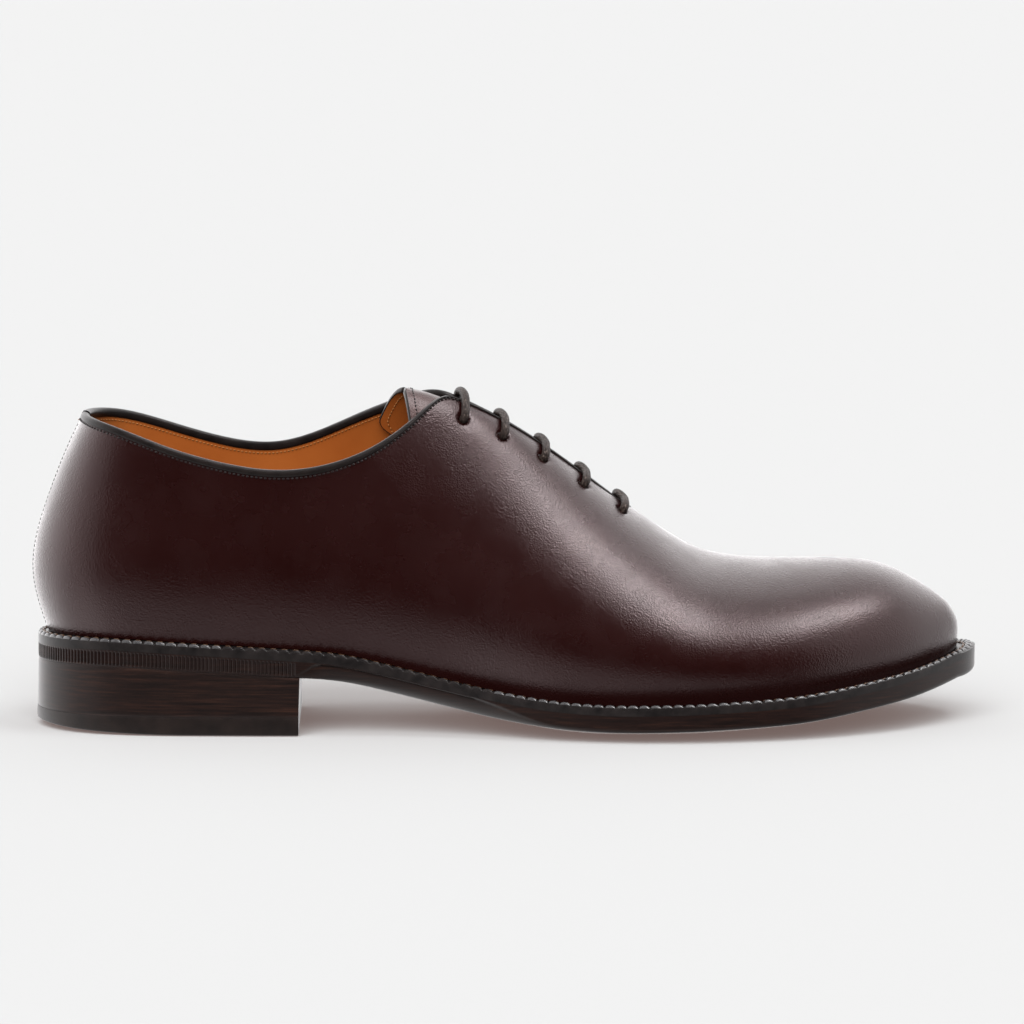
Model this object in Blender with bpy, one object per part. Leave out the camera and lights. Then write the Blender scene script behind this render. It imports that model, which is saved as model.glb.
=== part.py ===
"""Whole cut oxford, right shoe, standing empty on its heel and forefoot.

Lengths are millimetres until a mesh is made. x runs from the back of the heel to the toe, y from the
outer (lateral, negative) to the inner (medial, positive) side, and z up from the floor.
"""

import math

import bmesh
import bpy
import numpy as np

# Driving sizes of the shoe
ORIGIN = (155.3, -0.3)
LEATHER = 2.0
FIT_GAP = 0.3

# Sole, from the floor up
OUTSOLE_THICKNESS = 5.4
WELT_THICKNESS = 3.1
INSOLE_RISE = 1.6
HEEL_BREAST_X = 87.0
HEEL_BREAST_RAKE = 0.8
TOP_PIECE_THICKNESS = 6.0
TOP_PIECE_MARGIN = 0.35
HEEL_LIFTS = 3
HEEL_SPRING = 2.0
HEEL_SPRING_LENGTH = 52.0
HEEL_FLARE = 0.4

# Outer edge of the sole seen from above, once round from the back of the heel
OUTLINE = (
    # x, y
    (0.6, 0.0),
    (4.4, -13.2),
    (14.8, -23.8),
    (32.0, -30.0),
    (58.0, -32.6),
    (88.0, -33.8),
    (114.0, -34.4),
    (138.0, -38.0),
    (162.0, -45.4),
    (186.0, -51.4),
    (208.0, -53.4),
    (230.0, -51.8),
    (252.0, -46.8),
    (272.0, -38.2),
    (288.0, -28.4),
    (300.0, -17.0),
    (308.6, -5.4),
    (311.9, 5.4),
    (309.8, 16.4),
    (302.0, 27.4),
    (290.0, 37.0),
    (272.0, 45.4),
    (250.0, 50.8),
    (228.0, 52.8),
    (207.0, 51.2),
    (184.0, 44.2),
    (160.0, 35.0),
    (136.0, 29.4),
    (112.0, 28.4),
    (86.0, 30.4),
    (58.0, 31.8),
    (32.0, 29.6),
    (14.8, 23.4),
    (4.4, 13.0),
)

# Underside of the outsole along its middle, and how far its edges rise above that
SOLE_COLUMNS = ("x", "bottom", "crown", "edge_bevel")
SOLE_ROWS = (
    (0.0, 21.8, 0.0, 0.3),
    (22.0, 22.2, 0.0, 0.3),
    (46.0, 21.2, 0.0, 0.3),
    (70.0, 19.8, 0.0, 0.4),
    (88.0, 18.6, 0.1, 0.8),
    (101.0, 16.9, 0.5, 2.4),
    (115.0, 13.6, 0.9, 3.8),
    (130.0, 9.7, 1.3, 4.4),
    (145.0, 6.0, 1.8, 3.8),
    (160.0, 3.0, 2.4, 2.4),
    (172.0, 1.1, 3.0, 1.3),
    (184.0, 0.1, 3.4, 0.9),
    (190.0, 0.0, 3.4, 0.8),
    (202.0, 0.0, 3.5, 0.8),
    (214.0, 0.0, 3.8, 0.8),
    (224.0, 0.4, 3.8, 0.8),
    (237.0, 1.3, 3.5, 0.8),
    (252.0, 2.6, 3.2, 0.8),
    (270.0, 5.4, 2.8, 0.8),
    (288.0, 9.0, 2.2, 0.8),
    (302.0, 13.0, 1.5, 0.8),
    (312.0, 16.3, 1.0, 0.8),
)
TREAD_SHARE = 0.4
NARROWEST_CROWN = 18.0

# Shape of the last. Welt and bulge are in millimetres: the feather line lies that far inside the edge of
# the sole, and the wall swells out again above it. Heights are shares of the height to the crest, and the
# three width columns are shares of the half width at the wall.
LAST_COLUMNS = (
    "x", "welt_lateral", "welt_medial", "bulge_lateral", "bulge_medial",
    "wall_height", "flank_width", "brow_width", "crest_width", "centre",
)
LAST_ROWS = (
    (0.0, 3.3, 3.3, 4.8, 4.8, 0.24, 0.90, 0.80, 0.71, 0.0),
    (30.0, 3.0, 3.0, 3.2, 3.2, 0.25, 0.90, 0.80, 0.71, 0.0),
    (60.0, 3.2, 3.2, 2.8, 3.2, 0.26, 0.89, 0.79, 0.70, 0.0),
    (86.0, 3.6, 3.6, 2.8, 4.6, 0.26, 0.87, 0.75, 0.60, -0.6),
    (106.0, 4.2, 4.0, 3.0, 6.6, 0.25, 0.85, 0.65, 0.36, -1.2),
    (124.0, 4.8, 4.4, 3.0, 7.6, 0.235, 0.82, 0.53, 0.09, -1.2),
    (142.0, 5.4, 5.0, 3.0, 7.0, 0.23, 0.80, 0.46, 0.0, 0.2),
    (170.0, 6.6, 6.2, 2.8, 4.6, 0.24, 0.80, 0.46, 0.0, 4.0),
    (196.0, 7.4, 7.0, 2.6, 3.2, 0.26, 0.82, 0.49, 0.0, 7.0),
    (220.0, 7.6, 7.2, 2.4, 2.8, 0.29, 0.85, 0.53, 0.0, 8.0),
    (245.0, 7.4, 7.2, 2.4, 2.6, 0.31, 0.87, 0.56, 0.0, 7.2),
    (270.0, 7.0, 7.0, 2.0, 2.2, 0.33, 0.88, 0.58, 0.0, 5.8),
    (292.0, 6.4, 6.4, 1.2, 1.2, 0.34, 0.89, 0.60, 0.0, 4.8),
    (306.0, 6.0, 6.0, 0.3, 0.3, 0.34, 0.90, 0.62, 0.0, 4.4),
)
FLANK_HEIGHT = 0.42
BROW_HEIGHT = 0.78

# Back of the heel: where each line of the last crosses it
BACK_FEATHER, BACK_WALL, BACK_FLANK, BACK_BROW, BACK_CREST = 3.9, -0.9, 4.7, 14.1, 21.6
HEEL_ZONE = 60.0
TOE_ZONE = 262.0

# Ridge of the last seen from the side. Behind x 130 it is only a guide above the open collar.
CREST = (
    # x, z
    (-4.0, 112.0),
    (40.0, 112.0),
    (76.0, 113.6),
    (100.0, 115.2),
    (116.0, 114.2),
    (130.0, 111.9),
    (142.0, 107.1),
    (158.0, 98.2),
    (178.0, 83.9),
    (196.0, 70.6),
    (208.0, 62.4),
    (220.0, 55.8),
    (232.0, 53.4),
    (250.0, 52.8),
    (268.0, 52.8),
    (280.0, 51.2),
    (292.0, 45.7),
    (300.0, 40.3),
    (304.6, 35.8),
    (306.3, 31.2),
)
CREST_TIP = 306.3
LEAN_START = 92.0
LEAN_END = 132.0

# Top edge of the collar on each side
TOPLINE_COLUMNS = ("x", "lateral", "medial")
TOPLINE_ROWS = (
    (14.0, 103.2, 103.2),
    (28.0, 99.2, 101.2),
    (45.0, 93.0, 96.2),
    (62.0, 88.2, 91.4),
    (80.0, 85.7, 90.0),
    (98.0, 87.8, 95.8),
    (112.0, 93.1, 102.4),
    (124.0, 100.9, 107.6),
    (136.0, 111.4, 114.4),
    (150.0, 125.0, 127.0),
)

# Throat: half the gap between the facings, and where it ends
THROAT_COLUMNS = ("x", "half_gap")
THROAT_ROWS = ((120.0, 8.0), (136.0, 5.4), (150.0, 4.2), (170.0, 3.6), (197.0, 3.0))
THROAT_END = 197.0
THROAT_END_RADIUS = 3.0
CORNER_RADIUS = 7.0

# Binding round the collar
BINDING_WIDTH = 2.4
BINDING_END_X = 139.0
BINDING_END_WIDTH = 1.2
BINDING_TAPER = 14.0
BINDING_PROUD = 0.3
BINDING_GAP = 0.9

# Lacing
EYELET_X = (141.3, 154.4, 167.7, 181.1, 193.9)
EYELET_RADIUS = 1.7
EYELET_REACH = 7.7
LACE_RADIUS = 1.4
LACE_HEIGHT = 0.6
LACE_SLANT = 2.2

# Tongue
TONGUE_THICKNESS = 1.8
TONGUE_ROOT_X = 209.0
TONGUE_TIP_X = 122.6
TONGUE_HALF_WIDTH = 25.0
TONGUE_SLANT_MEDIAL = 0.42
TONGUE_SLANT_LATERAL = -0.12
TONGUE_DROP = 1.1

# Mesh density
HEEL_STEPS, WAIST_STEPS, TOE_STEPS = 8, 22, 10
UPPER_LEVELS = 11
CURVE_SAMPLES = 60
RIB_SAMPLES = 240

# Colours seen in the photo, linear RGB
BROWN_CALF = (0.030, 0.014, 0.013)
BLACK_BROWN = (0.012, 0.010, 0.010)
SOLE_BROWN = (0.028, 0.016, 0.012)
TAN_LINING = (0.30, 0.11, 0.03)
LACE_BROWN = (0.035, 0.025, 0.020)
MATERIALS = {
    # name: colour, roughness, metallic
    "upper_leather": (BROWN_CALF, 0.38, 0.0),
    "binding_leather": (BLACK_BROWN, 0.50, 0.0),
    "welt_leather": (BLACK_BROWN, 0.45, 0.0),
    "sole_leather": (SOLE_BROWN, 0.40, 0.0),
    "top_piece_rubber": (BLACK_BROWN, 0.60, 0.0),
    "lining_leather": (TAN_LINING, 0.50, 0.0),
    "lace_cotton": (LACE_BROWN, 0.70, 0.0),
}


def clear_scene():
    for obj in list(bpy.data.objects):
        bpy.data.objects.remove(obj)


def make_materials():
    made = {}
    for name, (colour, roughness, metallic) in MATERIALS.items():
        material = bpy.data.materials.new(name)
        material.use_nodes = True
        shader = material.node_tree.nodes["Principled BSDF"]
        shader.inputs["Base Color"].default_value = (*colour, 1.0)
        shader.inputs["Roughness"].default_value = roughness
        shader.inputs["Metallic"].default_value = metallic
        made[name] = material
    return made


# Curves


def smooth_slopes(knots, points, end=None):
    """Slopes at the knots of smooth cubics. knots is (n, curves) and points (n, curves, axes)."""
    count = len(knots)
    step = np.diff(knots, axis=0)
    rise = np.diff(points, axis=0) / step[..., None]
    matrix = np.zeros((knots.shape[1], count, count))
    known = np.zeros((knots.shape[1], count, points.shape[2]))
    matrix[:, 0, 0], matrix[:, 0, 1] = 2, 1
    known[:, 0] = 3 * rise[0]
    for k in range(1, count - 1):
        matrix[:, k, k - 1] = step[k]
        matrix[:, k, k] = 2 * (step[k - 1] + step[k])
        matrix[:, k, k + 1] = step[k - 1]
        known[:, k] = 3 * (step[k][:, None] * rise[k - 1] + step[k - 1][:, None] * rise[k])
    if end is None:
        matrix[:, -1, -2], matrix[:, -1, -1] = 1, 2
        known[:, -1] = 3 * rise[-1]
    else:
        matrix[:, -1, -1] = 1
        known[:, -1] = end
    return np.linalg.solve(matrix, known).transpose(1, 0, 2)


def cubic_at(knots, points, slopes, at):
    """Points of those cubics at parameters at, which is (m, curves)."""
    index = np.zeros(at.shape, int)
    for k in range(1, len(knots) - 1):
        index += at >= knots[k]
    curve = np.arange(at.shape[1])
    low, high = knots[index, curve], knots[index + 1, curve]
    step = high - low
    t = ((at - low) / step)[..., None]
    step = step[..., None]
    p0, p1 = points[index, curve], points[index + 1, curve]
    m0, m1 = slopes[index, curve] * step, slopes[index + 1, curve] * step
    return (
        p0 * (2 * t**3 - 3 * t**2 + 1)
        + m0 * (t**3 - 2 * t**2 + t)
        + p1 * (3 * t**2 - 2 * t**3)
        + m1 * (t**3 - t**2)
    )


def curve_through(points):
    """Dense points of one smooth curve through points."""
    points = np.asarray(points, float)
    chord = np.linalg.norm(np.diff(points, axis=0), axis=1)
    knots = np.concatenate([[0], np.cumsum(chord)])[:, None]
    points = points[:, None, :]
    slopes = smooth_slopes(knots, points)
    at = np.linspace(0, knots[-1, 0], CURVE_SAMPLES * len(points))[:, None]
    return cubic_at(knots, points, slopes, at)[:, 0]


def closed_curve_through(points):
    """Dense points of one smooth closed curve through points, starting at the first."""
    points = list(points)
    dense = curve_through(points[-4:] + points + points[:5])
    start = np.argmin(np.linalg.norm(dense[: len(dense) // 3] - points[0], axis=1))
    rest = dense[len(dense) * 2 // 3:]
    end = len(dense) * 2 // 3 + np.argmin(np.linalg.norm(rest - points[0], axis=1))
    return dense[start:end]


def column(columns, rows, name, x):
    """A named column of a table, read smoothly at x."""
    rows = np.asarray(rows, float)
    knots = rows[:, :1]
    values = rows[:, columns.index(name)][:, None, None]
    x = np.asarray(x, float)
    at = np.clip(x, rows[0, 0], rows[-1, 0]).reshape(-1, 1)
    slopes = smooth_slopes(knots, values)
    return cubic_at(knots, values, slopes, at).reshape(x.shape)


def smooth_step(value, low, high):
    t = np.clip((value - low) / (high - low), 0, 1)
    return t * t * (3 - 2 * t)


# Sole


def split_sides(curve):
    """The lateral and the medial half of a closed outline, each from heel to toe."""
    curve = np.roll(curve, -int(np.argmin(curve[:, 0])), axis=0)
    tip = int(np.argmax(curve[:, 0]))
    lateral = curve[: tip + 1]
    medial = np.concatenate([curve[tip:], curve[:1]])[::-1]
    return {"lateral": lateral, "medial": medial}


def inset_outline(inset):
    """The sole's outline moved inwards. inset gives the distance at each x, for one side."""
    outline = closed_curve_through(OUTLINE)
    tangent = np.roll(outline, -1, axis=0) - np.roll(outline, 1, axis=0)
    tangent /= np.linalg.norm(tangent, axis=1)[:, None]
    inward = np.stack([-tangent[:, 1], tangent[:, 0]], axis=1)
    x, y = outline[:, 0], outline[:, 1]
    share = smooth_step(y, -6.0, 6.0)
    distance = inset("lateral", x) * (1 - share) + inset("medial", x) * share
    return split_sides(outline + inward * distance[:, None])


def along_side(sides, side, x):
    """y of one side of an outline at x."""
    return np.interp(x, sides[side][:, 0], sides[side][:, 1])


OUTLINE_SIDES = {}


def sole_bottom(x, y):
    """Height of the outsole's underside, which curves up towards both edges of the forepart."""
    if not OUTLINE_SIDES:
        OUTLINE_SIDES.update(inset_outline(lambda side, x: 0.0 * x))
    lateral = along_side(OUTLINE_SIDES, "lateral", x)
    medial = along_side(OUTLINE_SIDES, "medial", x)
    half = np.maximum((medial - lateral) / 2, NARROWEST_CROWN)
    across = np.abs(y - (medial + lateral) / 2) / half
    reach = np.clip((across - TREAD_SHARE) / (1 - TREAD_SHARE), 0, 1.1)
    rise = column(SOLE_COLUMNS, SOLE_ROWS, "crown", x)
    middle = column(SOLE_COLUMNS, SOLE_ROWS, "bottom", x)
    return np.maximum(middle, 0) + rise * reach**2


def welt_bottom(x, y):
    return sole_bottom(x, y) + OUTSOLE_THICKNESS + FIT_GAP


def welt_top(x, y):
    return welt_bottom(x, y) + WELT_THICKNESS


def round_ended(low, high, steps, flat_end=False):
    """x values from low to high, close together towards each round end."""
    if flat_end:
        angle = np.linspace(0, math.pi / 2, steps + 1)
        return low + (high - low) * (1 - np.cos(angle))
    angle = np.linspace(0, math.pi, steps + 1)
    return low + (high - low) * (1 - np.cos(angle)) / 2


def plate(name, layers, across, flat_end=False):
    """A closed slab. Each layer is (sides, x values, height function), from the top down."""
    mesh = bmesh.new()
    share = np.linspace(0, 1, across + 1)
    rows = []
    for place, (sides, xs, height) in enumerate(layers):
        lateral = along_side(sides, "lateral", xs)
        medial = along_side(sides, "medial", xs)
        inner = share if place in (0, len(layers) - 1) else share[[0, -1]]
        ys = lateral[:, None] + (medial - lateral)[:, None] * inner
        grid = np.stack([np.repeat(xs[:, None], len(inner), 1), ys, ys * 0], axis=-1)
        grid[..., 2] = height(grid[..., 0], grid[..., 1])
        rows.append([[mesh.verts.new(p) for p in line] for line in grid])
    top, bottom = rows[0], rows[-1]
    for k in range(len(top) - 1):
        for j in range(across):
            mesh.faces.new((top[k][j], top[k + 1][j], top[k + 1][j + 1], top[k][j + 1]))
            mesh.faces.new((bottom[k][j], bottom[k][j + 1], bottom[k + 1][j + 1], bottom[k + 1][j]))
        for upper, lower in zip(rows, rows[1:]):
            mesh.faces.new((upper[k][0], lower[k][0], lower[k + 1][0], upper[k + 1][0]))
            mesh.faces.new((upper[k][-1], upper[k + 1][-1], lower[k + 1][-1], lower[k][-1]))
    if flat_end:
        loop = list(top[-1]) + [row[-1][-1] for row in rows[1:-1]]
        loop += list(reversed(bottom[-1])) + [row[-1][0] for row in reversed(rows[1:-1])]
        mesh.faces.new(loop)
    return finish_mesh(name, mesh)


def finish_mesh(name, mesh, weld=1e-4):
    """Turns a bmesh in millimetres into an object in metres, with equal points joined."""
    bmesh.ops.remove_doubles(mesh, verts=mesh.verts, dist=weld)
    bmesh.ops.dissolve_degenerate(mesh, dist=weld, edges=mesh.edges)
    for vert in mesh.verts:
        vert.co.x = (vert.co.x - ORIGIN[0]) / 1000
        vert.co.y = (vert.co.y - ORIGIN[1]) / 1000
        vert.co.z = vert.co.z / 1000
    bmesh.ops.recalc_face_normals(mesh, faces=mesh.faces)
    data = bpy.data.meshes.new(name)
    mesh.to_mesh(data)
    mesh.free()
    obj = bpy.data.objects.new(name, data)
    data.shade_smooth()
    data.set_sharp_from_angle(angle=math.radians(35))
    return obj


def outsole():
    bevel = lambda side, x: column(SOLE_COLUMNS, SOLE_ROWS, "edge_bevel", x)
    layers = []
    for share, rise in ((0.0, 1.0), (0.12, 0.5), (1.0, 0.0)):
        sides = inset_outline(lambda side, x, share=share: 0.2 + share * bevel(side, x))
        xs = round_ended(sides["lateral"][0, 0], sides["lateral"][-1, 0], 44)
        layers.append((sides, xs, lambda x, y, rise=rise: sole_bottom(x, y) + rise * OUTSOLE_THICKNESS))
    return plate("outsole", layers, 8)


def welt():
    """A strip on the outsole all the way round, under the edge of the upper."""
    outer = inset_outline(lambda side, x: 0.0 * x)
    middle = inset_outline(lambda side, x: feather_inset(side, x) * 0.8)
    inner = inset_outline(lambda side, x: feather_inset(side, x) + LEATHER + 1.0)
    mesh = bmesh.new()
    rings = []
    lap_round = [(outer, welt_top), (outer, welt_bottom), (middle, welt_bottom)]
    lap_round += [(inner, welt_bottom), (inner, welt_top), (middle, welt_top)]
    for sides, height in lap_round:
        xs = round_ended(sides["lateral"][0, 0], sides["lateral"][-1, 0], 42)
        lap = [(x, along_side(sides, "lateral", x)) for x in xs]
        lap += [(x, along_side(sides, "medial", x)) for x in xs[-2:0:-1]]
        rings.append([mesh.verts.new((x, y, height(x, y))) for x, y in lap])
    bridge_rings(mesh, rings, closed=True)
    return finish_mesh("welt", mesh)


def bridge_rings(mesh, rings, closed=False):
    """Faces between each pair of rings of points, and between the last and the first."""
    pairs = list(zip(rings, rings[1:])) + ([(rings[-1], rings[0])] if closed else [])
    for first, second in pairs:
        count = len(first)
        for k in range(count):
            after = (k + 1) % count
            mesh.faces.new((first[k], first[after], second[after], second[k]))


def insole():
    sides = inset_outline(lambda side, x: feather_inset(side, x) + LEATHER + 1.4)
    xs = round_ended(sides["lateral"][0, 0], sides["lateral"][-1, 0], 36)
    top = lambda x, y: welt_top(x, y) + INSOLE_RISE
    return plate("insole", [(sides, xs, top), (sides, xs, welt_bottom)], 6)


def heel_pieces():
    """The stacked lifts and the top piece under them, cut off at the heel breast."""
    pieces = []
    flared = lambda share: inset_outline(lambda side, x: 0.2 - HEEL_FLARE * (1 - share) + 0.0 * x)
    seat = lambda x, y: sole_bottom(x, y) - FIT_GAP
    base = lambda x, y: TOP_PIECE_THICKNESS + 0.0 * x
    for k in range(HEEL_LIFTS):
        low, high = k / HEEL_LIFTS, (k + 1) / HEEL_LIFTS
        floor = lambda x, y, low=low: base(x, y) + (seat(x, y) - base(x, y)) * low + FIT_GAP
        roof = lambda x, y, high=high: base(x, y) + (seat(x, y) - base(x, y)) * high
        layers = []
        for share, height in ((high, roof), (low, floor)):
            front = HEEL_BREAST_X + HEEL_BREAST_RAKE * share
            sides = flared(share)
            xs = round_ended(sides["lateral"][0, 0], front, 18, flat_end=True)
            layers.append((sides, xs, height))
        pieces.append(plate(f"heel_lift_{HEEL_LIFTS - k}", layers, 4, flat_end=True))
    wide = inset_outline(lambda side, x: 0.2 - HEEL_FLARE - TOP_PIECE_MARGIN + 0.0 * x)
    xs = round_ended(wide["lateral"][0, 0], HEEL_BREAST_X, 18, flat_end=True)
    spring = lambda x, y: HEEL_SPRING * np.clip(1 - x / HEEL_SPRING_LENGTH, 0, 1) ** 2
    layers = [(wide, xs, base), (wide, xs, spring)]
    pieces.append(plate("top_piece", layers, 4, flat_end=True))
    return pieces


# Upper


def feather_inset(side, x):
    return column(LAST_COLUMNS, LAST_ROWS, "welt_" + side, x)


def wall_inset(side, x):
    return feather_inset(side, x) - column(LAST_COLUMNS, LAST_ROWS, "bulge_" + side, x)


class Last:
    """The outer surface of the upper, as if it closed over the foot."""

    def __init__(self):
        self.feather = inset_outline(feather_inset)
        self.wall = inset_outline(wall_inset)
        tip = self.feather["lateral"][-1]
        self.feather_tip = tip[0]
        self.wall_tip = self.wall["lateral"][-1][0]
        self.crest = curve_through(CREST)

    def crest_height(self, x):
        return np.interp(x, self.crest[:, 0], self.crest[:, 1])

    def centre(self, x):
        return column(LAST_COLUMNS, LAST_ROWS, "centre", x)

    def ribs(self, side, stations):
        """Knots, points and slopes of the section at each station, from the feather line to the crest."""
        x_wall = np.asarray(stations, float)
        heel = np.clip((HEEL_ZONE - x_wall) / (HEEL_ZONE - BACK_WALL), 0, 1) ** 2
        toe = np.clip((x_wall - TOE_ZONE) / (self.wall_tip - TOE_ZONE), 0, 1) ** 2
        shift = lambda back, tip: x_wall + (back - BACK_WALL) * heel + (tip - self.wall_tip) * toe
        read = lambda name: column(LAST_COLUMNS, LAST_ROWS, name, x_wall)
        centre = self.centre(x_wall)
        y_wall = along_side(self.wall, side, x_wall)
        x_feather = shift(BACK_FEATHER, self.feather_tip)
        y_feather = along_side(self.feather, side, x_feather)
        floor = welt_top(x_feather, y_feather) + FIT_GAP
        x_crest = shift(BACK_CREST, CREST_TIP)
        rise = np.maximum(self.crest_height(x_crest) - floor, 0)
        wall_height = rise * read("wall_height")
        above = rise - wall_height
        half = y_wall - centre
        points = np.stack([
            np.stack([x_feather, y_feather, floor], -1),
            np.stack([x_wall, y_wall, floor + wall_height], -1),
            np.stack([shift(BACK_FLANK, CREST_TIP), centre + half * read("flank_width"),
                      floor + wall_height + above * FLANK_HEIGHT], -1),
            np.stack([shift(BACK_BROW, CREST_TIP), centre + half * read("brow_width"),
                      floor + wall_height + above * BROW_HEIGHT], -1),
            np.stack([x_crest, centre + half * read("crest_width"), floor + rise], -1),
        ])
        chord = np.linalg.norm(np.diff(points, axis=0), axis=2) + 1e-6
        knots = np.concatenate([np.zeros((1, len(x_wall))), np.cumsum(chord, axis=0)])
        up = points[4] - points[3]
        level = smooth_step(x_wall, LEAN_START, LEAN_END)[:, None]
        across = np.zeros_like(up)
        across[:, 1] = 1.0 if side == "lateral" else -1.0
        length = np.linalg.norm(up, axis=1)[:, None] + 1e-9
        end = up / length * (1 - level) + across * level
        slopes = smooth_slopes(knots, points, end=end)
        return knots, points, slopes

    def trim(self, side, stations):
        """Share of each rib that the leather covers, up to the topline, the throat or the crest."""
        knots, points, slopes = self.ribs(side, stations)
        share = np.linspace(0, 1, RIB_SAMPLES)[:, None]
        p = cubic_at(knots, points, slopes, share * knots[-1])
        over = p[..., 2] - column(TOPLINE_COLUMNS, TOPLINE_ROWS, side, p[..., 0])
        over[:, np.asarray(stations) > TOPLINE_ROWS[-1][0]] = -4 * CORNER_RADIUS
        near = half_gap(p[..., 0]) - np.abs(p[..., 1] - self.centre(p[..., 0]))
        near[:, np.asarray(stations) < THROAT_ROWS[0][0]] = -4 * CORNER_RADIUS
        rounding = np.maximum(CORNER_RADIUS - np.abs(over - near), 0)
        return first_share(np.maximum(over, near) + rounding**2 / (4 * CORNER_RADIUS))

    def surface(self, side, stations, share):
        """Points and outward normals at shares (levels, stations) of the trimmed ribs."""
        knots, points, slopes = self.ribs(side, stations)
        at = share * knots[-1]
        here = cubic_at(knots, points, slopes, at)
        return here

    def rib_length(self, side, stations):
        return self.ribs(side, stations)[0][-1]


def first_share(value):
    """Share at which each column of value first rises above zero, or 1 where it doesn't."""
    count = len(value)
    above = value > 0
    hit = above.any(axis=0) & ~above[0]
    index = np.maximum(np.argmax(above, axis=0), 1)
    column_index = np.arange(value.shape[1])
    low, high = value[index - 1, column_index], value[index, column_index]
    with np.errstate(divide="ignore", invalid="ignore"):
        part = np.where(high != low, -low / (high - low), 0)
    return np.where(hit, (index - 1 + part) / (count - 1), 1.0)


def half_gap(x):
    """Half the gap between the facings, rounded off at the throat's end."""
    gap = column(THROAT_COLUMNS, THROAT_ROWS, "half_gap", x)
    into = np.clip((x - (THROAT_END - THROAT_END_RADIUS)) / THROAT_END_RADIUS, 0, 1)
    return np.where(x < THROAT_END, gap * np.sqrt(np.maximum(1 - into**2, 0)), -1.0)


def binding_width(x):
    taper = np.clip((BINDING_END_X - x) / BINDING_TAPER, 0, 1)
    return np.where(
        x <= BINDING_END_X,
        BINDING_END_WIDTH + (BINDING_WIDTH - BINDING_END_WIDTH) * taper,
        0.0,
    )


def upper_stations(last):
    angle = np.linspace(math.pi / 2, 0, HEEL_STEPS + 1)[:-1]
    heel = HEEL_ZONE - (HEEL_ZONE - BACK_WALL) * np.sin(angle)
    waist = np.linspace(HEEL_ZONE, TOE_ZONE, WAIST_STEPS + 1)
    special = [BINDING_END_X, BINDING_END_X + 1.2, THROAT_END - 2.0, THROAT_END - 0.6, THROAT_END]
    waist = [x for x in waist if min(abs(x - s) for s in special) > 1.2]
    angle = np.linspace(0, math.pi / 2, TOE_STEPS + 1)[1:]
    toe = TOE_ZONE + (last.wall_tip - TOE_ZONE) * np.sin(angle)
    return np.array(sorted(list(heel) + waist + special + list(toe)))


def upper_surface(last, side, stations, levels):
    """Grid (levels, stations) from the feather line to the edge of the leather."""
    top = last.trim(side, stations)
    length = last.rib_length(side, stations)
    bound = binding_width(stations)
    cut = np.where(bound > 0, (bound + BINDING_GAP) / length, 0.0)
    share = np.linspace(0, 1, levels)[:, None] * (top - cut)
    return last.surface(side, stations, share)


def upper(last, cutters):
    """The whole cut: one skin, open below, at the collar and at the throat."""
    stations = upper_stations(last)
    mesh = bmesh.new()
    joined = stations >= THROAT_END
    lateral = upper_surface(last, "lateral", stations, UPPER_LEVELS)
    medial = upper_surface(last, "medial", stations, UPPER_LEVELS)
    first = [[mesh.verts.new(p) for p in line] for line in lateral]
    second = []
    for level, line in enumerate(medial):
        top = level == UPPER_LEVELS - 1
        shared = [k in (0, len(line) - 1) or (top and joined[k]) for k in range(len(line))]
        second.append([first[level][k] if shared[k] else mesh.verts.new(p) for k, p in enumerate(line)])
    for rows, outward in ((first, 1), (second, -1)):
        for low, high in zip(rows, rows[1:]):
            for k in range(len(low) - 1):
                mesh.faces.new((low[k], low[k + 1], high[k + 1], high[k])[::outward])
    thicken(mesh, LEATHER, level_rim=[v for row in (first[0], second[0]) for v in row])
    obj = finish_mesh("upper", mesh)
    for side in ("lateral", "medial"):
        for number, x in enumerate(EYELET_X):
            hole = eyelet_cutter(last, side, number, x, cutters)
            cut = obj.modifiers.new(hole.name, "BOOLEAN")
            cut.operation = "DIFFERENCE"
            cut.object = hole
    return obj


def thicken(mesh, depth, level_rim=()):
    """Turns a sheet into a solid, inwards from its faces. Points of level_rim keep their height."""
    bmesh.ops.remove_doubles(mesh, verts=mesh.verts, dist=1e-3)
    mesh.normal_update()
    faces, rim = list(mesh.faces), [edge for edge in mesh.edges if edge.is_boundary]
    flat = {vert for vert in level_rim if vert.is_valid}
    inner = {}
    for vert in list(mesh.verts):
        normal = vert.normal.copy()
        if vert in flat:
            normal.z = 0
            normal.normalize()
        inner[vert] = mesh.verts.new(vert.co - normal * depth)
    for edge in rim:
        loop = edge.link_loops[0]
        start, end = loop.vert, loop.link_loop_next.vert
        mesh.faces.new((end, start, inner[start], inner[end]))
    for face in faces:
        mesh.faces.new([inner[vert] for vert in reversed(face.verts)])


def eyelet_x(side, x):
    return x if side == "lateral" else x - LACE_SLANT


def eyelet_place(last, side, x):
    """Centre and outward direction of an eyelet on the outer face."""
    x = eyelet_x(side, x)
    knots, points, slopes = last.ribs(side, [x - 1, x, x + 1])
    top = last.trim(side, [x - 1, x, x + 1])
    share = top - EYELET_REACH / knots[-1]
    step = 1.0 / knots[-1]
    here = cubic_at(knots, points, slopes, share[None] * knots[-1])[0]
    above = cubic_at(knots, points, slopes, (share + step)[None] * knots[-1])[0]
    along = here[2] - here[0]
    across = above[1] - here[1]
    normal = np.cross(along, across)
    normal /= np.linalg.norm(normal)
    return here[1], normal if normal[2] > 0 else -normal


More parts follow.
